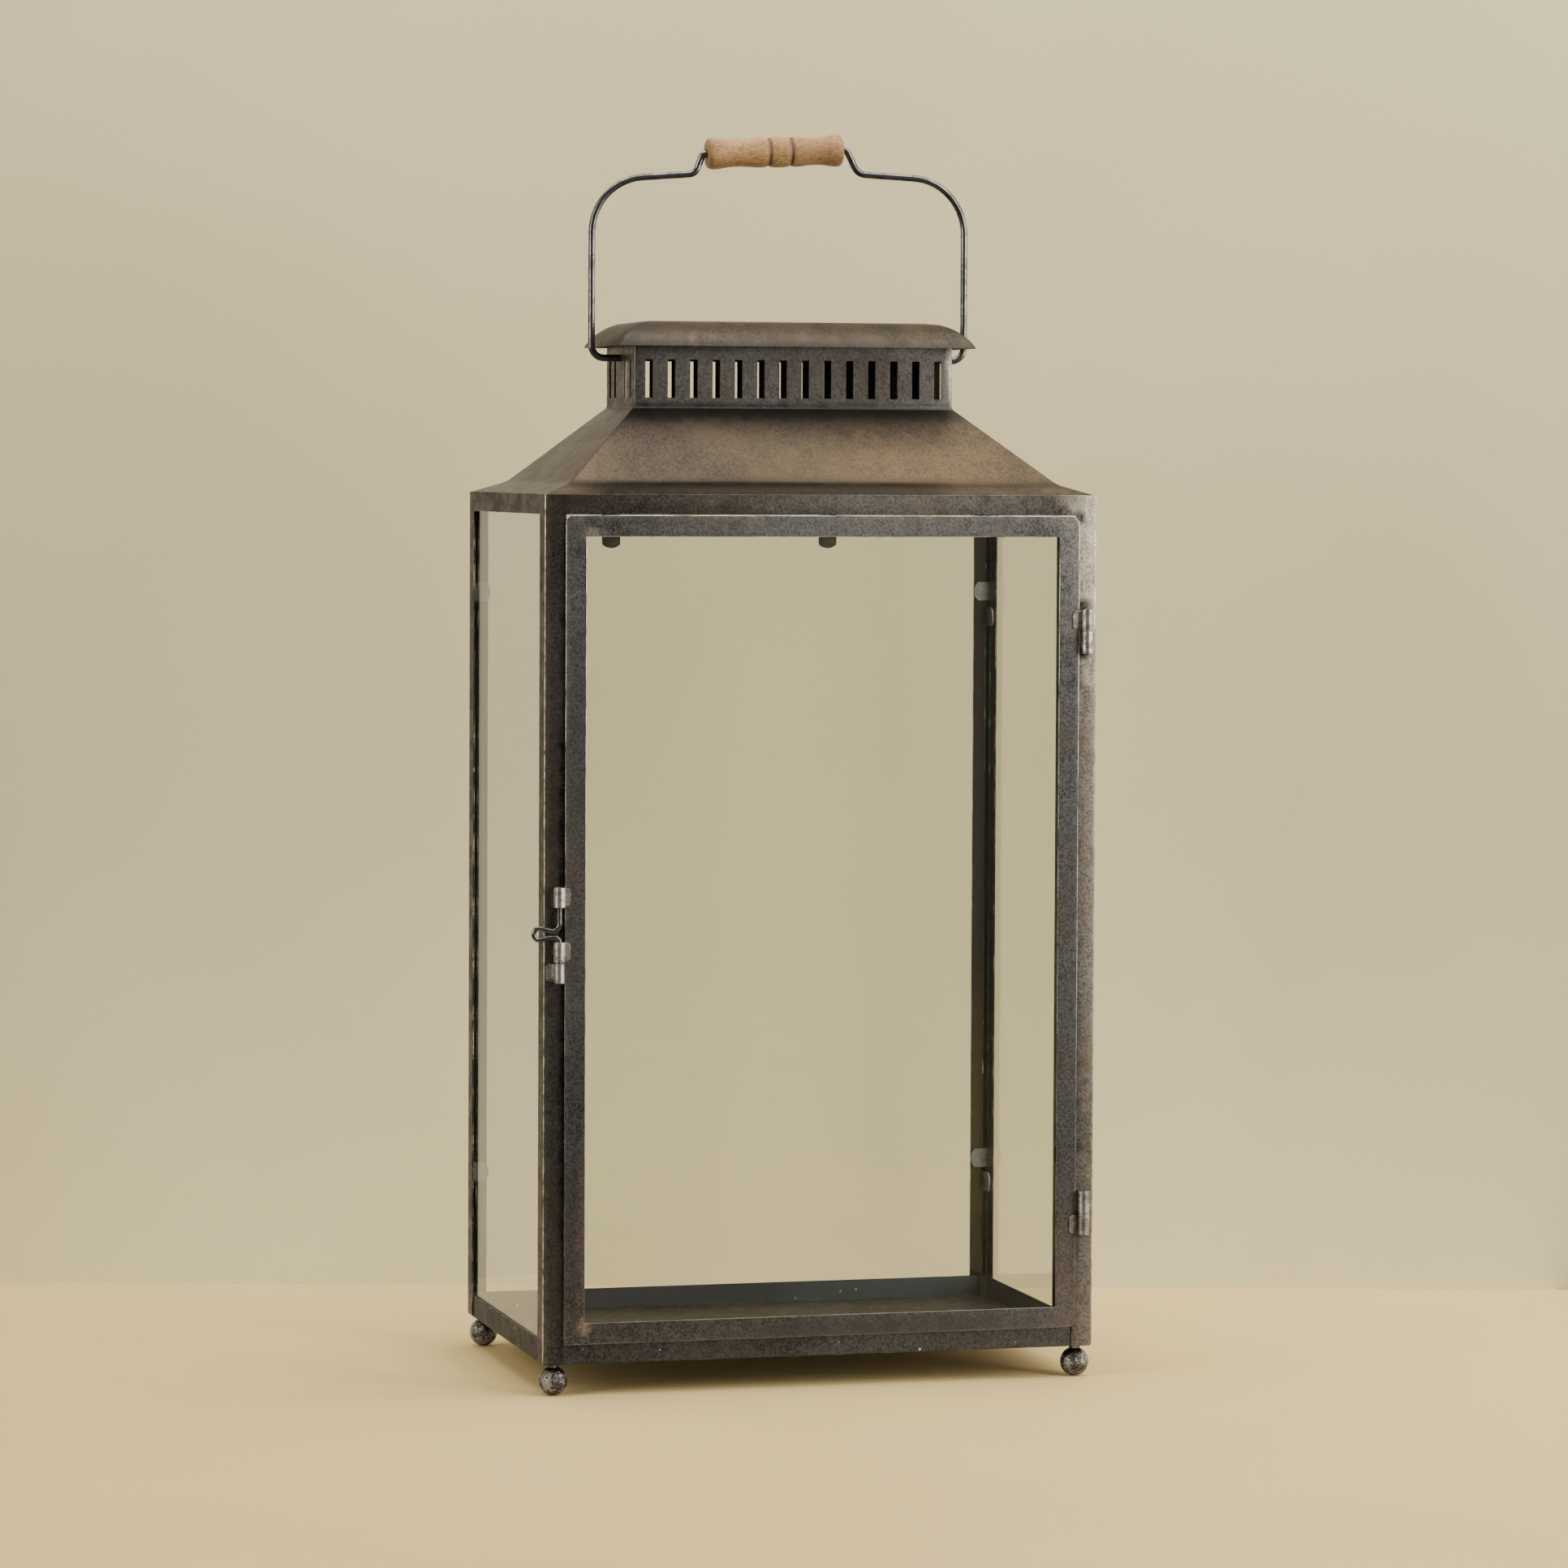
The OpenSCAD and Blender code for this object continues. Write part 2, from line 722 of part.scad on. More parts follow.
module door_rail_top() {
    color(steel) {
        door_face_part(
            door_x0 + door_member_w, door_x1 - door_member_w,
            door_z1 - door_member_w, door_z1
        );
        door_web(pane_x0, pane_x1, pane_z1, pane_z1 + door_t);
    }
}

module door_rail_bottom() {
    color(steel) {
        door_face_part(
            door_x0 + door_member_w, door_x1 - door_member_w,
            door_z0, door_z0 + door_member_w
        );
        door_web(pane_x0, pane_x1, pane_z0 - door_t, pane_z0);
    }
}

module door_pane() {
    color(clear)
        translate([pane_x0 + glass_gap, door_back_y, pane_z0])
            cube([pane_x1 - pane_x0 - 2 * glass_gap, glass_t, pane_z1 - pane_z0 - glass_gap]);
}

// Clips on the webs, behind the door's pane: two on each side
module door_pane_clips() {
    clip_y = door_back_y + glass_t;
    height = pane_z1 - pane_z0;
    width = pane_x1 - pane_x0;
    color(steel)
        for (share = clip_places) {
            for (x = [pane_x0, pane_x1 - clip_w])
                translate([x, clip_y, pane_z0 + share * height - clip_l / 2])
                    cube([clip_w, tab_t, clip_l]);
            for (z = [pane_z0, pane_z1 - clip_w])
                translate([pane_x0 + share * width - clip_l / 2, clip_y, z])
                    cube([clip_l, tab_t, clip_w]);
        }
}

// Flat strip along +X from its root, with a shallow rounded free end
module tab_outline(length, width) {
    intersection() {
        translate([0, -width / 2])
            square([length, width]);
        union() {
            translate([0, -width / 2])
                square([length - tab_tip_r, width]);
            translate([length - tab_tip_r, 0])
                circle(r = tab_tip_r);
        }
    }
}

// Stops bent from strip: a foot under the front top rail, and a hanging leg
module door_stops() {
    stop_y = door_web_y + stop_gap;
    rail_under = eave_z - sheet_t;
    stop_l = rail_under - (pane_z1 - stop_hang);
    color(steel)
        for (x = [-stop_a_x, stop_b_x])
            translate([x, stop_y, rail_under]) {
                rotate([90, 90, 0])
                    translate([0, 0, -tab_t])
                        linear_extrude(tab_t)
                            tab_outline(stop_l, stop_w);
                translate([-stop_w / 2, -stop_foot_l, -tab_t])
                    cube([stop_w, stop_foot_l + tab_t / 2, tab_t]);
            }
}

module rear_pane() {
    color(clear)
        translate([-rear_pane_half, rear_pane_y - glass_t, floor_z])
            cube([2 * rear_pane_half, glass_t, case_pane_top - floor_z]);
}

module side_pane(side_x) {
    color(clear)
        translate([side_x > 0 ? side_pane_x - glass_t : -side_pane_x, -side_pane_y, floor_z])
            cube([glass_t, 2 * side_pane_y, case_pane_top - floor_z]);
}

// Tabs from the posts' side legs over the rear pane
module rear_pane_tabs() {
    color(steel)
        for (side = [-1, 1], z = [post_z + rear_tab_inset, eave_z - rear_tab_inset])
            mirror([side > 0 ? 1 : 0, 0, 0])
                translate([-half_w + sheet_t, rear_pane_y - glass_t, z + rear_tab_shift])
                    rotate([90, 0, 0])
                        linear_extrude(tab_t)
                            tab_outline(tab_l, tab_w);
}

// Tabs from the posts' front and rear legs over a side pane
module side_pane_tabs(side_x) {
    color(steel)
        mirror([side_x > 0 ? 1 : 0, 0, 0])
            for (side = [-1, 1], z = [
                post_z + side_tab_inset + side_tab_low_shift,
                eave_z - side_tab_inset - side_tab_high_shift
            ])
                mirror([0, side > 0 ? 1 : 0, 0])
                    translate([-side_pane_x + glass_t, -half_d + sheet_t, z])
                        rotate([90, 0, 90])
                            linear_extrude(tab_t)
                                tab_outline(tab_l, tab_w);
}

// Rolled knuckle with its flat leaf; leaf_from and leaf_to are distances along X from
// the axis, and leaf_y is the leaf's front face measured from the axis
module rolled_knuckle(length, outer_d, bore_d, leaf_from, leaf_to, leaf_y, leaf_l) {
    difference() {
        union() {
            cylinder(h = length, d = outer_d);
            translate([min(leaf_from, leaf_to), leaf_y, (length - leaf_l) / 2])
                cube([abs(leaf_to - leaf_from), leaf_t, leaf_l]);
        }
        translate([0, 0, -1])
            cylinder(h = length + 2, d = bore_d);
    }
}

// Knuckles on the door: above the post's knuckle at the top, below it at the bottom
module hinge_door_knuckles() {
    leaf_y = door_face_y - leaf_t - axis_y;
    leaf_end = door_x1 - door_leaf_w - hinge_x;
    color(bright_steel)
        for (z = [hinge_top_z + knuckle_gap / 2, hinge_bottom_z - knuckle_gap / 2 - door_knuckle_l])
            translate([hinge_x, axis_y, z])
                rolled_knuckle(
                    door_knuckle_l, knuckle_od, pin_d + 2 * pin_gap,
                    leaf_end, -pin_d / 2 + leaf_root, leaf_y, leaf_share * door_knuckle_l
                );
}

module hinge_post_knuckles() {
    leaf_y = -half_d - leaf_t - axis_y;
    color(bright_steel)
        for (z = [hinge_top_z - knuckle_gap / 2 - post_knuckle_l, hinge_bottom_z + knuckle_gap / 2])
            translate([hinge_x, axis_y, z])
                rolled_knuckle(
                    post_knuckle_l, knuckle_od, pin_d,
                    0, hinge_inset - bend_r, leaf_y, leaf_share * post_knuckle_l
                );
}

// Plain pins, pressed into the post knuckles and running in the door knuckles
module hinge_pins() {
    color(bright_steel) {
        translate([hinge_x, axis_y, hinge_top_z - knuckle_gap / 2 - post_knuckle_l - pin_end])
            cylinder(h = post_knuckle_l + knuckle_gap + door_knuckle_l + 2 * pin_end, d = pin_d);
        translate([hinge_x, axis_y, hinge_bottom_z - knuckle_gap / 2 - door_knuckle_l - pin_end])
            cylinder(h = post_knuckle_l + knuckle_gap + door_knuckle_l + 2 * pin_end, d = pin_d);
    }
}

module latch_sleeves() {
    leaf_y = door_face_y - leaf_t - latch_y;
    leaf_end = door_x0 + sleeve_leaf_w - latch_x;
    color(bright_steel)
        for (z = [sleeve_low_z, sleeve_high_z])
            translate([latch_x, latch_y, z])
                rolled_knuckle(
                    sleeve_l, sleeve_od, bolt_d + 2 * bolt_gap,
                    bolt_d / 2 + bolt_gap, leaf_end, leaf_y, latch_leaf_share * sleeve_l
                );
}

module latch_keeper() {
    leaf_y = -half_d - leaf_t - latch_y;
    color(bright_steel)
        translate([latch_x, latch_y, keeper_z])
            rolled_knuckle(
                sleeve_l, keeper_od, bolt_d + 2 * bolt_gap,
                -(latch_x + half_w) + bend_r, 0, leaf_y, latch_leaf_share * sleeve_l
            );
}

// Sliding bolt with its finger loop, shot down into the keeper
module latch_bolt() {
    color(bright_steel)
        translate([latch_x, latch_y, 0])
            rotate([90, 0, 0])
                bent_wire(
                    [
                        [0, bolt_head_z],
                        [0, loop_z + upper_run_rise],
                        [-loop_reach, loop_z + loop_h / 2],
                        [-loop_reach, loop_z - loop_h / 2],
                        [-pinch_share * loop_reach, lower_run_z],
                        [0, lower_run_z],
                        [0, bolt_tip_z]
                    ],
                    [0, bolt_upper_r, loop_end_r, loop_end_r, bolt_pinch_r, bolt_lower_r, 0],
                    bolt_d
                );
}

post(-1, -1);  // post_front_left
post(1, -1);  // post_front_right
post(-1, 1);  // post_rear_left
post(1, 1);  // post_rear_right
top_rail_long(-1);  // top_rail_front
top_rail_long(1);  // top_rail_rear
top_rail_short(-1);  // top_rail_left
top_rail_short(1);  // top_rail_right
base_tray();
ball_feet();
roof_long(-1);  // roof_front
roof_long(1);  // roof_rear
roof_short(-1);  // roof_left
roof_short(1);  // roof_right
vent_neck();
vent_cap();
bail_wire();
bail_grip();
door_stile_latch();
door_stile_hinge();
door_rail_top();
door_rail_bottom();
door_pane();
door_pane_clips();
door_stops();
rear_pane();
side_pane(-1);  // left_pane
side_pane(1);  // right_pane
rear_pane_tabs();
side_pane_tabs(-1);  // left_pane_tabs
side_pane_tabs(1);  // right_pane_tabs
hinge_door_knuckles();
hinge_post_knuckles();
hinge_pins();
latch_sleeves();
latch_keeper();
latch_bolt();
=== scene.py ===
"""Rectangular candle lantern: blackened sheet steel, clear panes, a slotted ventilator,
a wire bail with a turned wooden grip, and a glazed door with a sliding wire bolt.

Metres, +Z up, the door faces -Y. The frame carries every dimension. This script adds the
finishes, the formed sheet, the bent wires, the turned grip and feet, the rolled knuckles,
the floor, the light and the camera.
"""

import math

import bmesh
import bpy
from mathutils import Matrix, Vector


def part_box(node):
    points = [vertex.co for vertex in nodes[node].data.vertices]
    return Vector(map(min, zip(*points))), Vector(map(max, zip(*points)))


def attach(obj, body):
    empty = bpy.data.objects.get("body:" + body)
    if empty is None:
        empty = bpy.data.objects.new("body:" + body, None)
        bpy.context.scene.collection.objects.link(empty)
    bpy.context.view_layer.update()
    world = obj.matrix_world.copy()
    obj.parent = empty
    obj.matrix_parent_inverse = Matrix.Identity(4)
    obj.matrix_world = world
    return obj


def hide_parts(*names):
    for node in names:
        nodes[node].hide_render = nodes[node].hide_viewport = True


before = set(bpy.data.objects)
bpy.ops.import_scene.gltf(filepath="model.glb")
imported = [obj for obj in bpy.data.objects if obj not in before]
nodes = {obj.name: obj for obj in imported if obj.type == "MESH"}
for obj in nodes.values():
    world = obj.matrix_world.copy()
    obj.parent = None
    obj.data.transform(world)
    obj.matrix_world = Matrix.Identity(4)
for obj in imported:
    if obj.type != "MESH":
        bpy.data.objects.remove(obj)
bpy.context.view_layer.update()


# ================================================================ camera

CAMERA_PLACE = Vector((-0.9665, -3.6224, 0.5876))
CAMERA_YAW = 0.26186
CAMERA_PITCH = 0.03814
CAMERA_ROLL = 0.00463
CAMERA_LENS = 133.07
CAMERA_SHIFT_Y = -132 / 1932


def place_camera():
    """The photograph's own view, found from the case's edges."""
    level = Vector((math.sin(CAMERA_YAW), math.cos(CAMERA_YAW), 0))
    side = Vector((math.cos(CAMERA_YAW), -math.sin(CAMERA_YAW), 0))
    up = Vector((0, 0, 1))
    forward = math.cos(CAMERA_PITCH) * level - math.sin(CAMERA_PITCH) * up
    tilted = math.sin(CAMERA_PITCH) * level + math.cos(CAMERA_PITCH) * up
    right = math.cos(CAMERA_ROLL) * side + math.sin(CAMERA_ROLL) * tilted
    rolled = -math.sin(CAMERA_ROLL) * side + math.cos(CAMERA_ROLL) * tilted
    turn = Matrix((right, rolled, -forward)).transposed().to_4x4()
    data = bpy.data.cameras.new("camera")
    data.sensor_fit = "HORIZONTAL"
    data.sensor_width = 36
    data.lens = CAMERA_LENS
    data.shift_y = CAMERA_SHIFT_Y
    data.clip_start = 0.05
    data.clip_end = 60
    camera = bpy.data.objects.new("camera", data)
    camera.matrix_world = Matrix.Translation(CAMERA_PLACE) @ turn
    bpy.context.scene.collection.objects.link(camera)
    bpy.context.scene.camera = camera


place_camera()


# ================================================================ sizes, in millimetres

MM = 0.001

# Case
CASE_HALF_W, CASE_HALF_D = 180.0, 113.0
SHEET_T = 1.0
BEND_R = 1.6
POST_LEG = 14.0
POST_FOOT_Z, RAIL_FOOT_Z, EAVE_Z = 20.7, 550.5, 563.2
RAIL_FLANGE = 13.0

# Roof, cap and neck
ROOF_LINE = ((1.2, 0.0), (20.5, 6.8), (74.6, 55.0))
ROOF_BEND_R = 16.0
ROOF_T = 1.0
NECK_HALF_W, NECK_HALF_D = 105.4, 38.4
NECK_FOOT_Z, NECK_HEAD_Z = 613.2, 663.0
ROOF_TOP_Z = 618.2
SLOT_W, SLOT_LOW_Z, SLOT_HIGH_Z = 4.8, 624.2, 648.4
SLOT_PITCH, SLOT_COUNT, REAR_SLOT_SHIFT = 14.7, 14, 1.6
END_SLOT_PITCH = 13.9
BAIL_HOLE_D, PIVOT_Z = 4.7, 649.7
CAP_HALF_W, CAP_HALF_D = 118.0, 51.0
CAP_Z, CAP_RISE, CAP_SIDE_R, CAP_T = 656.8, 16.4, 30.0, 1.0

# Bail and grip
BAIL_D, BAIL_LEG_X = 4.5, 124.3
BAIL_FOOT_X = 97.4
BAIL_TOP_Z, BAIL_FALL, BAIL_LEAN = 769.1, 4.6, 1.5
CRANK_ANGLES, CRANK_LOW_R, CRANK_HIGH_R = (69.0, 64.0), (6.5, 9.0), 3.0
CRANK_SHIFT, CRANK_HALF = 3.3, 48.06
GRIP_Z, GRIP_TILT, GRIP_SLIDE, GRIP_BEAD = 783.2, 2.3, -0.6, 0.08
GRIP_L, GRIP_D = 90.0, 20.6

# Door
DOOR_X = (-166.6, 168.0)
DOOR_Z = (32.5, 550.2)
DOOR_FACE_Y, DOOR_BACK_Y, DOOR_WEB_Y = -114.3, -113.3, -102.3
DOOR_MEMBER, DOOR_LIP = 13.4, 1.5
DOOR_CORNERS = {"low_left": 1.6, "low_right": 4.5, "high_left": 3.2, "high_right": 4.0}

# Hinges and latch
AXIS_Y = -117.05
HINGE_X, LATCH_X = 172.4, -170.7
LEAF_T = 0.9
DOOR_KNUCKLES_Z, DOOR_KNUCKLE_L = (477.4, 91.9), 13.4
POST_KNUCKLES_Z, POST_KNUCKLE_L = (462.8, 105.7), 14.2
SLEEVES_Z, KEEPER_Z, SLEEVE_L = (272.4, 306.5), 259.3, 12.4

# Feet
FOOT_D, FOOT_STEM_D, TRAY_Z = 18.4, 7.0, 20.0
FEET_X, FEET_Y = 171.0, 104.0


# ================================================================ shader helpers

def new_material(name):
    material = bpy.data.materials.new(name)
    material.use_nodes = True
    tree = material.node_tree
    return material, tree, tree.nodes["Principled BSDF"]


def add_node(tree, kind, **settings):
    node = tree.nodes.new(kind)
    for key, value in settings.items():
        setattr(node, key, value)
    return node


def feed(tree, socket, value):
    """Set a socket to a number or tuple, or link another socket to it."""
    if isinstance(value, bpy.types.NodeSocket):
        tree.links.new(value, socket)
    elif isinstance(value, tuple) and socket.type == "RGBA" and len(value) == 3:
        socket.default_value = (*value, 1.0)
    else:
        socket.default_value = value


def maths(tree, operation, *values, clamp=False):
    node = add_node(tree, "ShaderNodeMath", operation=operation, use_clamp=clamp)
    for socket, value in zip(node.inputs, values):
        feed(tree, socket, value)
    return node.outputs[0]


def vector_maths(tree, operation, *values, out=0):
    node = add_node(tree, "ShaderNodeVectorMath", operation=operation)
    for socket, value in zip(node.inputs, values):
        feed(tree, socket, value)
    return node.outputs[out]


def remap(tree, value, low, high, out_low=0.0, out_high=1.0):
    """Smooth step from low to high; low may be the larger of the two."""
    node = add_node(tree, "ShaderNodeMapRange", interpolation_type="SMOOTHSTEP")
    for socket, number in zip(node.inputs, (value, low, high, out_low, out_high)):
        feed(tree, socket, number)
    return node.outputs["Result"]


def mixed(tree, share, a, b, mode="MIX"):
    node = add_node(tree, "ShaderNodeMix", data_type="RGBA", blend_type=mode)
    for index, value in ((0, share), (6, a), (7, b)):
        feed(tree, node.inputs[index], value)
    return node.outputs[2]


def noise(tree, place, scale, detail=4.0, roughness=0.55, distortion=0.0):
    node = add_node(tree, "ShaderNodeTexNoise")
    for title, value in (("Vector", place), ("Scale", scale), ("Detail", detail),
                         ("Roughness", roughness), ("Distortion", distortion)):
        feed(tree, node.inputs[title], value)
    return node.outputs["Fac"]


def stretched(tree, place, scale, shift=(0.0, 0.0, 0.0)):
    node = add_node(tree, "ShaderNodeMapping")
    for title, value in (("Vector", place), ("Scale", scale), ("Location", shift)):
        feed(tree, node.inputs[title], value)
    return node.outputs["Vector"]


def relief(tree, shader, height, strength, distance):
    node = add_node(tree, "ShaderNodeBump")
    for title, value in (("Height", height), ("Strength", strength), ("Distance", distance)):
        feed(tree, node.inputs[title], value)
    feed(tree, shader.inputs["Normal"], node.outputs["Normal"])


def new_group(name, inputs, outputs):
    """Shader group with named sockets; inputs are (name, kind, default)."""
    group = bpy.data.node_groups.new(name, "ShaderNodeTree")
    for title, kind, default in inputs:
        socket = group.interface.new_socket(name=title, in_out="INPUT", socket_type=kind)
        socket.default_value = default
    for title in outputs:
        group.interface.new_socket(name=title, in_out="OUTPUT", socket_type="NodeSocketFloat")
    return group, group.nodes.new("NodeGroupInput").outputs, group.nodes.new("NodeGroupOutput").inputs


def use_group(tree, group, **values):
    """Place a shared group; an input's spaces are written as underscores here."""
    node = add_node(tree, "ShaderNodeGroup")
    node.node_tree = group
    for title, value in values.items():
        feed(tree, node.inputs[title.replace("_", " ")], value)
    return node.outputs


def object_place(tree):
    return add_node(tree, "ShaderNodeTexCoord").outputs["Object"]


FLOAT, VECTOR = "NodeSocketFloat", "NodeSocketVector"


# ================================================================ shared effects

def make_patina():
    """Clouds, mottling and fine grain of blackened sheet."""
    group, start, end = new_group(
        "patina",
        [("Place", VECTOR, (0, 0, 0)), ("Cloud Scale", FLOAT, 9.0),
         ("Mottle Scale", FLOAT, 70.0), ("Grain Scale", FLOAT, 800.0)],
        ["Cloud", "Mottle", "Grain"],
    )
    layers = (("Cloud", 3.0, 0.5, 0.34, 0.66), ("Mottle", 6.0, 0.68, 0.38, 0.62),
              ("Grain", 3.0, 0.75, 0.37, 0.63))
    for title, detail, rough, low, high in layers:
        fac = noise(group, start["Place"], start[title + " Scale"], detail, rough)
        feed(group, end[title], remap(group, fac, low, high))
    return group


def make_box_edge():
    """Distance to the nearest edge of a box-shaped piece."""
    group, start, end = new_group(
        "box_edge",
        [("Place", VECTOR, (0, 0, 0)), ("Low Corner", VECTOR, (-1, -1, -1)),
         ("High Corner", VECTOR, (1, 1, 1))],
        ["Distance"],
    )
    sides = []
    for a, b in (("Place", "Low Corner"), ("High Corner", "Place")):
        gap = vector_maths(group, "ABSOLUTE", vector_maths(group, "SUBTRACT", start[a], start[b]))
        split = add_node(group, "ShaderNodeSeparateXYZ")
        feed(group, split.inputs[0], gap)
        sides.append(split.outputs)
    x, y, z = (maths(group, "MINIMUM", sides[0][i], sides[1][i]) for i in range(3))
    # The middle one of the three distances is the distance to the nearest edge
    middle = maths(group, "MAXIMUM", maths(group, "MINIMUM", x, y),
                   maths(group, "MINIMUM", maths(group, "MAXIMUM", x, y), z))
    feed(group, end["Distance"], middle)
    return group


def make_rim():
    """Distance to an upright rectangle's outline, such as a door's edge or its opening's."""
    group, start, end = new_group(
        "rim", [("Place", VECTOR, (0, 0, 0)), ("Centre", VECTOR, (0, 0, 0)),
                ("Half Size", VECTOR, (1, 1, 1))], ["Distance"]
    )
    away = vector_maths(group, "ABSOLUTE", vector_maths(group, "SUBTRACT", start["Place"], start["Centre"]))
    split = add_node(group, "ShaderNodeSeparateXYZ")
    feed(group, split.inputs[0], vector_maths(group, "SUBTRACT", away, start["Half Size"]))
    outside = maths(group, "MAXIMUM", split.outputs["X"], split.outputs["Z"])
    feed(group, end["Distance"], maths(group, "ABSOLUTE", outside))
    return group


def make_edge_wear_and_highlight():
    """Bare metal and a painted highlight within a ragged width of an edge, and a softer brightening beside it.
    """
    group, start, end = new_group(
        "edge_wear_and_highlight",
        [("Place", VECTOR, (0, 0, 0)), ("Distance", FLOAT, 1.0), ("Width", FLOAT, 0.0008),
         ("Breakup", FLOAT, 0.5)],
        ["Wear", "Near Edge"],
    )
    ragged = maths(group, "SUBTRACT", noise(group, start["Place"], 160.0, 4.0, 0.6), 0.5)
    swing = maths(group, "MULTIPLY", maths(group, "MULTIPLY", ragged, start["Breakup"]), 4.0)
    reach = maths(group, "MULTIPLY", start["Width"], maths(group, "ADD", 1.0, swing))
    share = maths(group, "DIVIDE", start["Distance"], maths(group, "MAXIMUM", reach, 0.00005))
    feed(group, end["Wear"], remap(group, share, 1.0, 0.4))
    feed(group, end["Near Edge"], remap(group, share, 6.0, 0.5))
    return group


def make_soft_patch():
    """A soft patch round a point, for handled or soldered finish and for painted shade, sheen and highlight."""
    group, start, end = new_group(
        "soft_patch",
        [("Place", VECTOR, (0, 0, 0)), ("Centre", VECTOR, (0, 0, 0)),
         ("Reach", VECTOR, (0.02, 0.02, 0.02)), ("Breakup", FLOAT, 1.0)],
        ["Rub"],
    )
    away = vector_maths(group, "SUBTRACT", start["Place"], start["Centre"])
    away = vector_maths(group, "DIVIDE", away, start["Reach"])
    length = vector_maths(group, "LENGTH", away, out="Value")
    cloud = maths(group, "SUBTRACT", noise(group, start["Place"], 120.0, 6.0, 0.7), 0.5)
    ragged = maths(group, "ADD", length, maths(group, "MULTIPLY", cloud, start["Breakup"]))
    feed(group, end["Rub"], remap(group, ragged, 1.0, 0.15))
    return group


def make_inside():
    """1 on faces that look in towards the lantern's middle, which take painted shade."""
    group, start, end = new_group(
        "inside_faces", [("Place", VECTOR, (0, 0, 0)), ("Facing", VECTOR, (0, 0, 1))], ["Inside"]
    )
    flat = vector_maths(group, "MULTIPLY", start["Place"], (1.0, 1.0, 0.0))
    outward = vector_maths(group, "DOT_PRODUCT", flat, start["Facing"], out="Value")
    feed(group, end["Inside"], remap(group, outward, -0.004, -0.02))
    return group


def make_specks():
    """Scattered pale specks of dust and paint."""
    group, start, end = new_group(
        "specks",
        [("Place", VECTOR, (0, 0, 0)), ("Scale", FLOAT, 60.0), ("Size", FLOAT, 0.08),
         ("Share", FLOAT, 0.1)],
        ["Speck"],
    )
    cells = add_node(group, "ShaderNodeTexVoronoi", feature="F1")
    feed(group, cells.inputs["Vector"], start["Place"])
    feed(group, cells.inputs["Scale"], start["Scale"])
    near = maths(group, "LESS_THAN", cells.outputs["Distance"], start["Size"])
    chance = add_node(group, "ShaderNodeSeparateXYZ")
    feed(group, chance.inputs[0], cells.outputs["Color"])
    chosen = maths(group, "LESS_THAN", chance.outputs[0], start["Share"])
    feed(group, end["Speck"], maths(group, "MULTIPLY", near, chosen))
    return group


PATINA = make_patina()
BOX_EDGE = make_box_edge()
RIM = make_rim()
EDGE_WEAR_AND_HIGHLIGHT = make_edge_wear_and_highlight()
SOFT_PATCH = make_soft_patch()
INSIDE = make_inside()
SPECKS = make_specks()


# ================================================================ finishes

# Worn steel at the edges, light enough to stand also as a painted highlight
BARE_STEEL_AND_HIGHLIGHT = (0.86, 0.77, 0.66)
# Near-black painted shade on faces turned in towards the middle
INSIDE_SHADE = (0.014, 0.014, 0.0125)
SPECK_WHITE = (0.75, 0.74, 0.68)
# Grain reads evenly from the front and from the side when it is drawn out front to back
GRAIN_STRETCH = (1.0, 0.55, 1.0)


def faded_down(tree, place, low_z, high_z, least):
    """Share that falls from 1 at a height to the least at a lower one."""
    height = add_node(tree, "ShaderNodeSeparateXYZ")
    feed(tree, height.inputs[0], place)
    return remap(tree, height.outputs["Z"], low_z, high_z, least, 1.0)


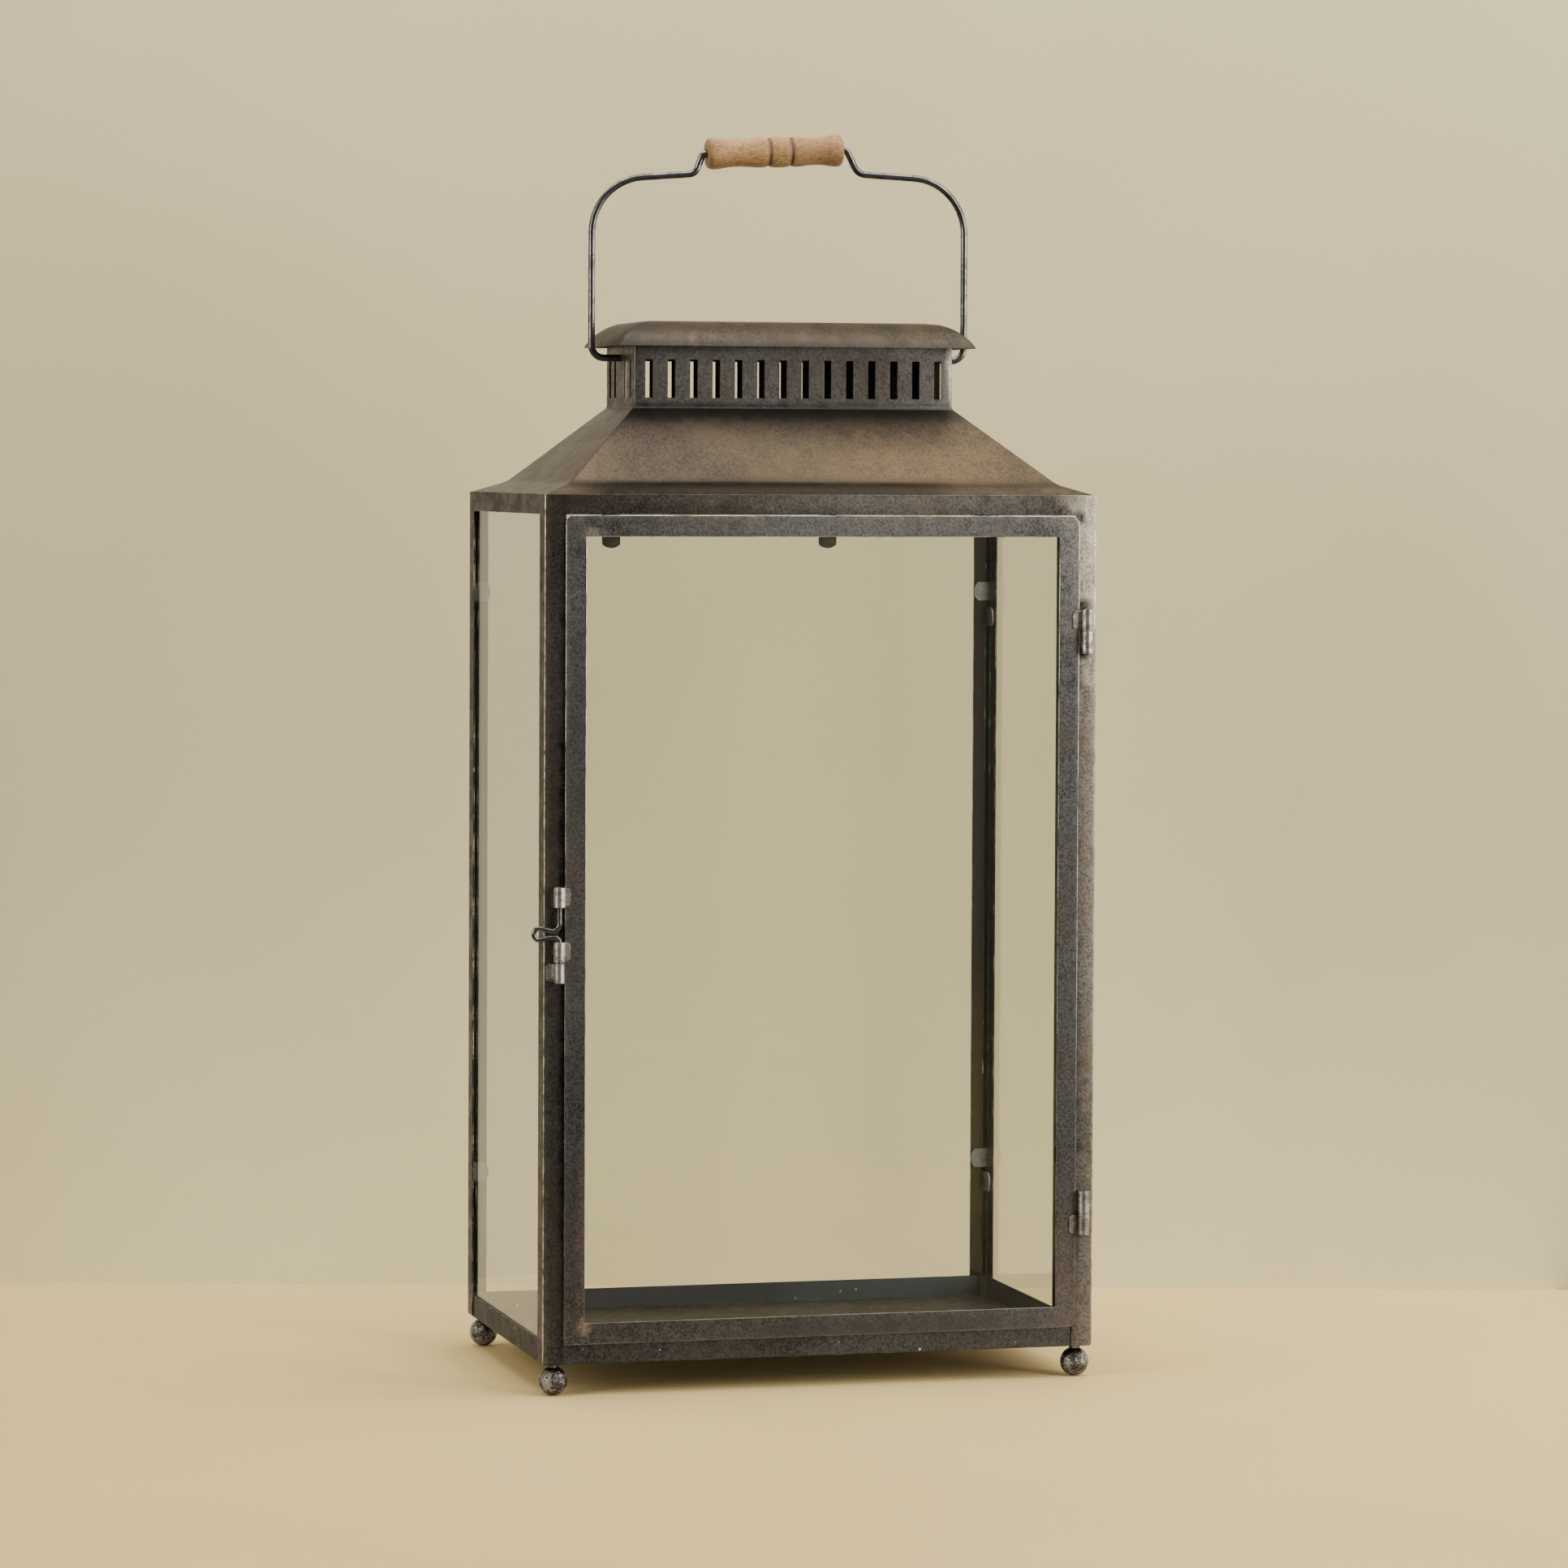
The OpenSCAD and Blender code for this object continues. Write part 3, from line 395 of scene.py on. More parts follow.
def sheet_steel(name, dark, light, brown, brown_share=0.3, rough=0.36, shares=(0.22, 0.30, 0.48),
                box=None, rims=(), wear_and_highlight=0.9, wear_and_highlight_width=0.0010, bare=BARE_STEEL_AND_HIGHLIGHT, fade=None, tint_patches=(),
                inside=1.0, inside_colour=INSIDE_SHADE, specks=0.0, metallic=0.8, bump=0.12,
                grain_scale=640.0, draw=GRAIN_STRETCH):
    """Blackened sheet: clouded greys, browner in places, worn along its edges, where the bright edge is also a
    painted highlight.

    The shares are how much clouds, mottling and fine grain lighten the sheet.
    """
    material, tree, shader = new_material(name)
    coords = add_node(tree, "ShaderNodeTexCoord")
    place = coords.outputs["Object"]
    drawn = stretched(tree, place, draw)
    patina = use_group(tree, PATINA, Place=drawn, Cloud_Scale=9.0, Mottle_Scale=85.0,
                       Grain_Scale=grain_scale)
    cloud, mottle, grain = patina["Cloud"], patina["Mottle"], patina["Grain"]
    tone = maths(tree, "ADD", maths(tree, "MULTIPLY", cloud, shares[0]),
                 maths(tree, "MULTIPLY", mottle, shares[1]))
    tone = maths(tree, "ADD", tone, maths(tree, "MULTIPLY", grain, shares[2]), clamp=True)
    colour = mixed(tree, tone, dark, light)
    warm = noise(tree, stretched(tree, place, (1.0, 1.0, 1.0), (3.1, 1.7, 0.4)), 15.0, 5.0, 0.65)
    colour = mixed(tree, remap(tree, warm, 0.42, 0.64, 0.0, brown_share), colour, brown)
    speckle = maths(tree, "ADD", maths(tree, "MULTIPLY", mottle, 0.35), maths(tree, "MULTIPLY", grain, 0.65))
    # Soft patches of tint: worn and handled steel, and painted shade, sheen and highlight
    for centre, reach, strength, tint in tint_patches:
        patch_share = use_group(tree, SOFT_PATCH, Place=place, Centre=centre, Reach=reach, Breakup=1.3)["Rub"]
        patch_share = maths(tree, "MULTIPLY", patch_share, remap(tree, speckle, 0.15, 0.85, 0.45 * strength, strength))
        colour = mixed(tree, patch_share, colour, tint)
    distances = [use_group(tree, RIM, Place=place, Centre=centre, Half_Size=half)["Distance"]
                 for centre, half in rims]
    if box is not None:
        distances.append(use_group(tree, BOX_EDGE, Place=place, Low_Corner=box[0],
                                   High_Corner=box[1])["Distance"])
    # Bright edges: worn steel and a painted highlight
    for distance in distances:
        edge = use_group(tree, EDGE_WEAR_AND_HIGHLIGHT, Place=place, Distance=distance, Width=wear_and_highlight_width, Breakup=0.7)
        soft = maths(tree, "MULTIPLY", edge["Near Edge"], 0.10 * wear_and_highlight)
        share = maths(tree, "MAXIMUM", maths(tree, "MULTIPLY", edge["Wear"], wear_and_highlight), soft)
        if fade is not None:
            share = maths(tree, "MULTIPLY", share, faded_down(tree, place, *fade))
        colour = mixed(tree, share, colour, bare)
    # Faces turned in towards the middle take painted shade
    if inside:
        hidden = use_group(tree, INSIDE, Place=place, Facing=coords.outputs["Normal"])["Inside"]
        colour = mixed(tree, maths(tree, "MULTIPLY", hidden, inside), colour, inside_colour)
    if specks:
        speck = use_group(tree, SPECKS, Place=place, Scale=95.0, Size=0.08, Share=specks)["Speck"]
        colour = mixed(tree, speck, colour, SPECK_WHITE)
    feed(tree, shader.inputs["Base Color"], colour)
    swing = 0.2 * shares[1]
    feed(tree, shader.inputs["Roughness"], remap(tree, mottle, 0.0, 1.0, rough + swing, rough - swing))
    shader.inputs["Metallic"].default_value = metallic
    shader.inputs["Specular Tint"].default_value = (0.55, 0.55, 0.55, 1)
    height = maths(tree, "ADD", maths(tree, "MULTIPLY", mottle, shares[1]), maths(tree, "MULTIPLY", grain, 0.4))
    relief(tree, shader, height, bump, 0.0006)
    return material


def worn_highlit_edge(name, dark, light, share=0.7, fade=None):
    """The bevelled rim of a sheet: bare steel where it has been rubbed, dark between; the bright patches are
    also a painted highlight.
    """
    material, tree, shader = new_material(name)
    place = object_place(tree)
    patches = remap(tree, noise(tree, place, 45.0, 6.0, 0.7), 0.62 - 0.3 * share, 0.66 - 0.1 * share)
    grain = noise(tree, place, 700.0, 2.0, 0.6)
    patches = maths(tree, "MULTIPLY", patches, remap(tree, grain, 0.3, 0.6, 0.6, 1.0))
    if fade is not None:
        patches = maths(tree, "MULTIPLY", patches, faded_down(tree, place, *fade))
    colour = mixed(tree, patches, dark, light)
    feed(tree, shader.inputs["Base Color"], colour)
    feed(tree, shader.inputs["Roughness"], remap(tree, grain, 0.3, 0.7, 0.26, 0.40))
    shader.inputs["Metallic"].default_value = 0.9
    return material


def bright_steel(name, dark, light, rough=0.26, stain_scale=60.0, spread=(0.3, 0.7), bump=0.05,
                 grain=0.25):
    """Handled steel of wires, knuckles and balls: bright, with darker stains and fine grain."""
    material, tree, shader = new_material(name)
    place = object_place(tree)
    patina = use_group(tree, PATINA, Place=place, Cloud_Scale=stain_scale, Mottle_Scale=4 * stain_scale,
                       Grain_Scale=700.0)
    tone = maths(tree, "ADD", maths(tree, "MULTIPLY", patina["Cloud"], 0.6),
                 maths(tree, "MULTIPLY", patina["Mottle"], 0.4))
    tone = remap(tree, tone, *spread)
    tone = maths(tree, "ADD", maths(tree, "MULTIPLY", tone, 1 - grain),
                 maths(tree, "MULTIPLY", patina["Grain"], grain))
    feed(tree, shader.inputs["Base Color"], mixed(tree, tone, dark, light))
    feed(tree, shader.inputs["Roughness"], remap(tree, tone, 0.0, 1.0, rough + 0.08, rough - 0.04))
    shader.inputs["Metallic"].default_value = 0.95
    relief(tree, shader, maths(tree, "ADD", tone, patina["Grain"]), bump, 0.0004)
    return material


def window_glass(name):
    """Clear pane that lets the lamps through."""
    material, tree, shader = new_material(name)
    shader.inputs["Base Color"].default_value = (0.868, 0.888, 0.868, 1)
    shader.inputs["Roughness"].default_value = 0.0
    shader.inputs["IOR"].default_value = 1.3
    shader.inputs["Transmission Weight"].default_value = 1.0
    clear = add_node(tree, "ShaderNodeBsdfTransparent")
    clear.inputs["Color"].default_value = (0.90, 0.92, 0.905, 1)
    mix = add_node(tree, "ShaderNodeMixShader")
    path = add_node(tree, "ShaderNodeLightPath")
    feed(tree, mix.inputs[0], path.outputs["Is Shadow Ray"])
    tree.links.new(shader.outputs[0], mix.inputs[1])
    tree.links.new(clear.outputs[0], mix.inputs[2])
    tree.links.new(mix.outputs[0], tree.nodes["Material Output"].inputs["Surface"])
    return material


def glass_edge(name):
    """Cut edge of the window glass: dark bottle green with bright nicks."""
    material, tree, shader = new_material(name)
    place = object_place(tree)
    nicks = remap(tree, noise(tree, stretched(tree, place, (1, 1, 0.25)), 260.0, 3.0, 0.6), 0.58, 0.72)
    depth = noise(tree, place, 14.0, 3.0, 0.5)
    colour = mixed(tree, remap(tree, depth, 0.35, 0.65), (0.018, 0.040, 0.030), (0.05, 0.12, 0.085))
    feed(tree, shader.inputs["Base Color"], mixed(tree, nicks, colour, (0.30, 0.42, 0.34)))
    feed(tree, shader.inputs["Roughness"], remap(tree, nicks, 0.0, 1.0, 0.12, 0.35))
    return material


def turned_wood(name):
    """Waxed turned wood: long fibres along the grip, darker in the grooves."""
    material, tree, shader = new_material(name)
    place = object_place(tree)
    fibres = noise(tree, stretched(tree, place, (24, 430, 430)), 1.0, 6.0, 0.65, 0.3)
    bands = noise(tree, stretched(tree, place, (9, 80, 80), (0.3, 0.1, 0.7)), 1.0, 4.0, 0.6, 0.8)
    pores = noise(tree, stretched(tree, place, (330, 900, 900)), 1.0, 3.0, 0.7)
    colour = mixed(tree, remap(tree, bands, 0.36, 0.64), WOOD_DARK, WOOD_LIGHT)
    colour = mixed(tree, remap(tree, fibres, 0.42, 0.66, 0.0, 0.55), colour, WOOD_STREAK)
    colour = mixed(tree, remap(tree, pores, 0.50, 0.62, 0.0, 0.55), colour, WOOD_PORE)
    colour = mixed(tree, remap(tree, pores, 0.46, 0.36, 0.0, 0.45), colour, WOOD_FLECK)
    # Wax and hand grime gather in the two grooves and round the ends
    along = add_node(tree, "ShaderNodeSeparateXYZ")
    feed(tree, along.inputs[0], vector_maths(tree, "SUBTRACT", place, (GRIP_MIDDLE_X * MM, 0.0, 0.0)))
    for groove in GROOVES_X:
        away = maths(tree, "ABSOLUTE", maths(tree, "SUBTRACT", along.outputs["X"], groove * MM))
        colour = mixed(tree, remap(tree, away, 0.0026, 0.0004, 0.0, 0.75), colour, WOOD_GRIME)
    end = maths(tree, "ABSOLUTE", along.outputs["X"])
    colour = mixed(tree, remap(tree, end, 0.0415, 0.0448, 0.0, 0.45), colour, WOOD_GRIME)
    feed(tree, shader.inputs["Base Color"], colour)
    feed(tree, shader.inputs["Roughness"], remap(tree, fibres, 0.3, 0.7, 0.46, 0.62))
    shader.inputs["Specular IOR Level"].default_value = 0.38
    relief(tree, shader, maths(tree, "ADD", fibres, maths(tree, "MULTIPLY", pores, 0.6)), 0.3, 0.0006)
    return material


WOOD_LIGHT = (0.57, 0.33, 0.120)
WOOD_DARK = (0.36, 0.190, 0.069)
WOOD_STREAK = (0.46, 0.255, 0.098)
WOOD_PORE = (0.17, 0.085, 0.036)
WOOD_FLECK = (0.66, 0.43, 0.19)
WOOD_GRIME = (0.12, 0.066, 0.034)
GRIP_MIDDLE_X = -CRANK_SHIFT + GRIP_SLIDE
GROOVE_SHARE = 0.1625
GROOVES_X = tuple(GRIP_L / 2 * (GRIP_BEAD + way * GROOVE_SHARE * (1 - way * GRIP_BEAD)) for way in (-1, 1))

SHEET_DARK = (0.016, 0.015, 0.0135)
SHEET_LIGHT = (0.145, 0.137, 0.122)
SHEET_BROWN = (0.095, 0.068, 0.045)
# Silvery painted sheen on the front faces
PAINTED_SILVER_SHEEN = (0.40, 0.375, 0.335)
# Worn beige steel, brightened further as a painted highlight
BEIGE_WEAR_AND_HIGHLIGHT = (0.79, 0.68, 0.52)
EARTH_RUB = (0.36, 0.25, 0.16)
# Near-black painted shade, for creases, gaps and beside proud parts
PAINTED_SHADE = (0.018, 0.017, 0.0155)
# Dark tint: painted shade on the cap, and darker along the door's bottom rail
DARKENING = (0.040, 0.035, 0.029)
# Painted shadow and reflection of the neck and cap on the roof slopes
ROOF_NECK_SHADOW = (0.052, 0.047, 0.040)
SCRATCH_RUB = (0.58, 0.43, 0.29)
BROWN_RUB = (0.28, 0.225, 0.165)
# Lighter brown: patina, and painted sheen where the cap and front slope catch the light
ROOF_BROWN_AND_SHEEN = (0.185, 0.135, 0.086)
LIP_SHEEN = (0.27, 0.24, 0.195)
WARM_EDGE = (0.80, 0.64, 0.48)
DOOR_FADE = (0.03, 0.50, 0.15)


def mm(*values):
    return tuple(value * MM for value in values)


case_box = (mm(-CASE_HALF_W, -CASE_HALF_D, -50), mm(CASE_HALF_W, CASE_HALF_D, EAVE_Z + 50))
door_middle = mm((DOOR_X[0] + DOOR_X[1]) / 2, 0, (DOOR_Z[0] + DOOR_Z[1]) / 2)
door_half = mm((DOOR_X[1] - DOOR_X[0]) / 2, 1000, (DOOR_Z[1] - DOOR_Z[0]) / 2)
CASE_WEAR_AND_PAINTED_LIGHT = (
    # Worn bare steel on the right post, brightened as painted sheen, most at the top
    (mm(176, -113, 560), mm(24, 20, 150), 0.9, BEIGE_WEAR_AND_HIGHLIGHT),
    (mm(175, -113, 330), mm(16, 20, 320), 0.26, BEIGE_WEAR_AND_HIGHLIGHT),
    (mm(175, -113, 70), mm(14, 20, 110), 0.20, BEIGE_WEAR_AND_HIGHLIGHT),
    (mm(20, -113, 562), mm(230, 20, 11), 0.45, BROWN_RUB),
    # Painted sheen on the right part of the band
    (mm(60, -113, 557), mm(160, 20, 12), 0.30, PAINTED_SILVER_SHEEN),
    # Painted shadow of the door's proud left edge on the post
    (mm(-167, -113, 290), mm(5.5, 20, 420), 1.3, PAINTED_SHADE),
    # Painted shade round the hinge knuckles and beside the door's top right corner
    (mm(171, -113, 493), mm(9, 20, 7), 1.0, PAINTED_SHADE),
    (mm(171, -113, 463), mm(8, 20, 6), 1.1, PAINTED_SHADE),
    (mm(168, -113, 549), mm(7, 20, 7), 1.0, PAINTED_SHADE),
)
DOOR_WEAR_AND_PAINTED_LIGHT = (
    # Painted sheen on the door's right stile and top rail
    (mm(166, -114.3, 545), mm(22, 9, 110), 0.60, PAINTED_SILVER_SHEEN),
    (mm(161, -114.3, 300), mm(14, 9, 300), 0.12, PAINTED_SILVER_SHEEN),
    (mm(10, -114.3, 543), mm(230, 9, 15), 0.45, PAINTED_SILVER_SHEEN),
    # Worn top left corner of the door, with a painted highlight
    (mm(-150, -114.3, 538), mm(10, 9, 7), 0.50, BEIGE_WEAR_AND_HIGHLIGHT),
    # Painted sheen at the top of the left stile
    (mm(-160, -114.3, 520), mm(10, 9, 60), 0.22, PAINTED_SILVER_SHEEN),
    (mm(-153, -114.3, 44), mm(7, 9, 9), 0.60, SCRATCH_RUB),
    (mm(-154, -114.3, 110), mm(7, 9, 90), 0.45, EARTH_RUB),
    (mm(-160, -114.3, 300), mm(12, 9, 90), 0.20, EARTH_RUB),
    (mm(160, -114.3, 70), mm(14, 9, 70), 0.35, EARTH_RUB),
    # Darker along the door's bottom rail
    (mm(40, -114.3, 36), mm(160, 9, 14), 0.55, DARKENING),
)
CAP_PATINA_AND_PAINTED_LIGHT = (
    # Painted sheen on the cap's top, towards the right
    (mm(60, -30, 688), mm(70, 40, 12), 0.45, ROOF_BROWN_AND_SHEEN),
    # Painted shadow at the cap's left end and painted shade along its lower front
    (mm(-110, -30, 665), mm(60, 80, 22), 0.75, DARKENING),
    (mm(20, -51, 662), mm(160, 10, 12), 0.70, DARKENING),
)
ROOF_PATINA_AND_PAINTED_LIGHT = (
    # Brown patina; on the front slope also a painted sheen, lighter to the right
    (mm(80, -85, 585), mm(120, 60, 60), 0.75, ROOF_BROWN_AND_SHEEN),
    (mm(-30, -80, 600), mm(60, 40, 30), 0.35, ROOF_BROWN_AND_SHEEN),
    (mm(-60, 90, 590), mm(110, 60, 50), 0.60, ROOF_BROWN_AND_SHEEN),
    (mm(140, 30, 590), mm(60, 70, 50), 0.50, ROOF_BROWN_AND_SHEEN),
    # Painted sheen on the flat lip above the eave
    (mm(0, -104, 565), mm(260, 24, 8), 0.60, LIP_SHEEN),
    # Painted shadow and reflection of the neck and cap in a band just under the neck
    (mm(0, 0, 618.5), mm(500, 500, 12), 2.4, ROOF_NECK_SHADOW),
    # Painted shade along the crease between the lip and the slope
    (mm(-30, -95, 571), mm(260, 14, 7), 0.50, PAINTED_SHADE),
)

case_steel = sheet_steel("case_steel", (0.014, 0.0125, 0.0105), (0.150, 0.136, 0.115), SHEET_BROWN,
                         0.60, box=case_box, wear_and_highlight=0.9, wear_and_highlight_width=0.0010, bare=WARM_EDGE,
                         tint_patches=CASE_WEAR_AND_PAINTED_LIGHT)
door_steel = sheet_steel("door_steel", (0.022, 0.021, 0.018), (0.225, 0.213, 0.190), SHEET_BROWN,
                         0.30, rims=((door_middle, door_half),), wear_and_highlight=0.9, wear_and_highlight_width=0.0007,
                         fade=DOOR_FADE, tint_patches=DOOR_WEAR_AND_PAINTED_LIGHT)
# The tray's inward faces take a paler, bluish painted shade
tray_steel = sheet_steel("tray_steel", (0.022, 0.021, 0.019), (0.135, 0.127, 0.114), SHEET_BROWN,
                         0.30, inside=0.94, inside_colour=(0.185, 0.20, 0.23), specks=0.50, rough=0.46,
                         shares=(0.22, 0.14, 0.48), draw=(1.0, 1.0, 1.0), bump=0.07)
# Darker sheet for the clips and stops behind the door: painted shade
shaded_inner_steel = sheet_steel("shaded_inner_steel", (0.016, 0.0155, 0.014), (0.080, 0.076, 0.068), SHEET_BROWN, 0.2)
# Lighter grey tabs: painted light that their bent ends catch
lit_tab_steel = sheet_steel("lit_tab_steel", (0.09, 0.09, 0.088), (0.22, 0.22, 0.21), SHEET_BROWN, 0.1,
                        inside=0.0, metallic=0.6)
roof_steel = sheet_steel("roof_steel", (0.040, 0.032, 0.0235), (0.118, 0.093, 0.066),
                         (0.128, 0.093, 0.060), 0.45, rough=0.30, shares=(0.30, 0.12, 0.50), bump=0.03,
                         tint_patches=ROOF_PATINA_AND_PAINTED_LIGHT)
cap_steel = sheet_steel("cap_steel", (0.024, 0.0205, 0.0165), (0.104, 0.085, 0.062),
                        (0.135, 0.096, 0.058), 0.45, rough=0.42, shares=(0.30, 0.20, 0.50), bump=0.04,
                        tint_patches=CAP_PATINA_AND_PAINTED_LIGHT)
# Painted shade along the neck's foot and cove; the bright patch at the front right corner is worn steel with a
# painted highlight
neck_steel = sheet_steel("neck_steel", (0.052, 0.046, 0.038), (0.225, 0.207, 0.180), SHEET_BROWN,
                         0.4, tint_patches=((mm(0, -39, 618.5), mm(400, 9, 4.5), 0.85, PAINTED_SHADE),
                                    (mm(104, -37, 645), mm(4, 4, 30), 0.6, BEIGE_WEAR_AND_HIGHLIGHT)))
case_edge = worn_highlit_edge("case_edge", (0.06, 0.05, 0.04), (0.66, 0.55, 0.43), 0.5)
tray_edge = worn_highlit_edge("tray_edge", (0.030, 0.027, 0.022), (0.20, 0.175, 0.145), 0.4)
door_edge = worn_highlit_edge("door_edge", (0.12, 0.108, 0.090), (0.90, 0.84, 0.74), 0.9, DOOR_FADE)
roof_edge = worn_highlit_edge("roof_edge", (0.05, 0.04, 0.03), (0.20, 0.17, 0.13), 0.5)
cap_edge = worn_highlit_edge("cap_edge", (0.10, 0.088, 0.070), (0.70, 0.64, 0.54), 0.8)
neck_edge = worn_highlit_edge("neck_edge", (0.02, 0.018, 0.016), (0.30, 0.28, 0.24), 0.5)
wire_steel = bright_steel("wire_steel", (0.105, 0.099, 0.090), (0.26, 0.245, 0.222), 0.20, 70.0,
                          spread=(0.15, 0.85), bump=0.02, grain=0.15)
knuckle_steel = bright_steel("knuckle_steel", (0.22, 0.193, 0.155), (0.72, 0.66, 0.565), 0.36, 80.0, bump=0.02)
ball_steel = bright_steel("ball_steel", (0.030, 0.027, 0.023), (0.34, 0.31, 0.27), 0.22, 150.0,
                          spread=(0.46, 0.68), bump=0.30, grain=0.3)
# Steel pins darkened as painted shade in the gaps between the hinge knuckles
shaded_pin_steel = bright_steel("shaded_pin_steel", (0.03, 0.027, 0.022), (0.22, 0.20, 0.16), 0.3)
glass = window_glass("window_glass")
pane_edge = glass_edge("pane_edge")
wood = turned_wood("turned_wood")


def finish_node(name, material):
    piece = nodes[name]
    piece.data.materials.clear()
    piece.data.materials.append(material)


for name in ("door_pane_clips", "door_stops"):
    finish_node(name, shaded_inner_steel)
for name in ("rear_pane_tabs", "left_pane_tabs", "right_pane_tabs"):
    finish_node(name, lit_tab_steel)
finish_node("hinge_pins", shaded_pin_steel)


# ================================================================ making pieces

def new_piece(name, mesh):
    piece = bpy.data.objects.new(name, mesh)
    bpy.context.scene.collection.objects.link(piece)
    return piece


def plain_mesh(piece):
    """Turn a piece with live modifiers into a plain mesh."""
    graph = bpy.context.evaluated_depsgraph_get()
    made = bpy.data.meshes.new_from_object(piece.evaluated_get(graph), depsgraph=graph)
    piece.modifiers.clear()
    piece.data = made
    return piece


def belong(piece, body, slot, *replaced):
    """Ride on a body and stand for CAD nodes; the slot argument is not used."""
    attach(piece, body)
    if replaced:
        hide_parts(*replaced)
    return piece


def bevelled(piece, width, angle=30, segments=2, edge_slot=1):
    """Break the sharp edges; the new faces take the second material."""
    smooth(piece.data, angle)
    bevel = piece.modifiers.new("bevel", "BEVEL")
    bevel.width = width * MM
    bevel.segments = segments
    bevel.limit_method = "ANGLE"
    bevel.angle_limit = math.radians(angle)
    bevel.harden_normals = True
    if edge_slot and len(piece.data.materials) > edge_slot:
        bevel.material = edge_slot
    return plain_mesh(piece)


def smooth(mesh, angle=30):
    mesh.shade_smooth()
    mesh.set_sharp_from_angle(angle=math.radians(angle))


def mesh_from(name, points, faces, *materials):
    """Points in millimetres; doubles merged and faces turned outwards."""
    mesh = bpy.data.meshes.new(name)
    mesh.from_pydata([mm(*point) for point in points], [], faces)
    clean = bmesh.new()
    clean.from_mesh(mesh)
    bmesh.ops.remove_doubles(clean, verts=clean.verts, dist=1e-6)
    bmesh.ops.recalc_face_normals(clean, faces=clean.faces)
    clean.to_mesh(mesh)
    clean.free()
    for material in materials:
        mesh.materials.append(material)
    return mesh


def solidified(piece, thickness, offset=-1.0):
    wall = piece.modifiers.new("wall", "SOLIDIFY")
    wall.thickness = thickness * MM
    wall.offset = offset
    wall.use_even_offset = True
    return plain_mesh(piece)


def joined(name, *pieces):
    """One mesh from several pieces that share their materials' order."""
    merged = bmesh.new()
    for piece in pieces:
        merged.from_mesh(piece.data)
    mesh = bpy.data.meshes.new(name)
    merged.to_mesh(mesh)
    merged.free()
    for material in pieces[0].data.materials:
        mesh.materials.append(material)
    for piece in pieces:
        bpy.data.objects.remove(piece)
    return new_piece(name, mesh)


def node_copy(name, *node_names):
    """Merged copies of CAD nodes, with flat faces made whole again."""
    merged = bmesh.new()
    for node_name in node_names:
        part = bmesh.new()
        part.from_mesh(nodes[node_name].data)
        bmesh.ops.remove_doubles(part, verts=part.verts, dist=2e-6)
        bmesh.ops.dissolve_limit(part, angle_limit=math.radians(0.5), verts=part.verts, edges=part.edges)
        mesh = bpy.data.meshes.new("part")
        part.to_mesh(mesh)
        part.free()
        merged.from_mesh(mesh)
        bpy.data.meshes.remove(mesh)
    mesh = bpy.data.meshes.new(name)
    merged.to_mesh(mesh)
    merged.free()
    return new_piece(name, mesh)


# ---------------------------------------------------------------- geometry node trees

def geometry_tree(name, inputs):
    """Empty tree with a Geometry input and output and named inputs (name, kind, default)."""
    tree = bpy.data.node_groups.new(name, "GeometryNodeTree")
    tree.interface.new_socket(name="Geometry", in_out="INPUT", socket_type="NodeSocketGeometry")
    for title, kind, default in inputs:
        socket = tree.interface.new_socket(name=title, in_out="INPUT", socket_type="NodeSocket" + kind)
        if default is not None:
            socket.default_value = default
    tree.interface.new_socket(name="Geometry", in_out="OUTPUT", socket_type="NodeSocketGeometry")
    return tree, tree.nodes.new("NodeGroupInput").outputs, tree.nodes.new("NodeGroupOutput").inputs


def run_tree(piece, tree, **values):
    """Run a tree on a piece, with inputs set by their identifiers, and keep the plain mesh."""
    modifier = piece.modifiers.new(tree.name, "NODES")
    modifier.node_group = tree
    titles = {title.replace("_", " "): value for title, value in values.items()}
    for socket in tree.interface.items_tree:
        if socket.in_out == "INPUT" and socket.name in titles:
            modifier[socket.identifier] = titles[socket.name]
    return plain_mesh(piece)


def placed(tree, kind, **links):
    """Add a node and feed its inputs by name (spaces as underscores)."""
    settings = links.pop("settings", {})
    node = add_node(tree, kind, **settings)
    for title, value in links.items():
        feed(tree, node.inputs[title.replace("_", " ")], value)
    return node


def finish_tree(tree, end, geometry, material):
    """Every tree ends the same way: realize, then set the material."""
    real = placed(tree, "GeometryNodeRealizeInstances", Geometry=geometry)
    coated = placed(tree, "GeometryNodeSetMaterial", Geometry=real.outputs[0], Material=material)
    feed(tree, end["Geometry"], coated.outputs[0])


def grid_rows(tree, across, profile):
    """Grid with one column per step across and one row per profile point, and its counters."""
    size = placed(tree, "GeometryNodeAttributeDomainSize", Geometry=profile)
    rows = size.outputs["Point Count"]
    grid = placed(tree, "GeometryNodeMeshGrid", Vertices_X=across, Vertices_Y=rows)
    index = add_node(tree, "GeometryNodeInputIndex").outputs[0]
    column = maths(tree, "FLOOR", maths(tree, "DIVIDE", maths(tree, "ADD", index, 0.5), rows))
    row = maths(tree, "ROUND", maths(tree, "SUBTRACT", index, maths(tree, "MULTIPLY", column, rows)))
    position = add_node(tree, "GeometryNodeInputPosition").outputs[0]
    sample = placed(tree, "GeometryNodeSampleIndex", Geometry=profile,
                    settings={"data_type": "FLOAT_VECTOR", "domain": "POINT"})
    feed(tree, sample.inputs["Value"], position)
    feed(tree, sample.inputs["Index"], row)
    split = add_node(tree, "ShaderNodeSeparateXYZ")
    feed(tree, split.inputs[0], sample.outputs[0])
    return grid.outputs["Mesh"], column, split.outputs["X"], split.outputs["Z"]


def combine(tree, x, y, z):
    node = add_node(tree, "ShaderNodeCombineXYZ")
    for socket, value in zip(node.inputs, (x, y, z)):
        feed(tree, socket, value)
    return node.outputs[0]


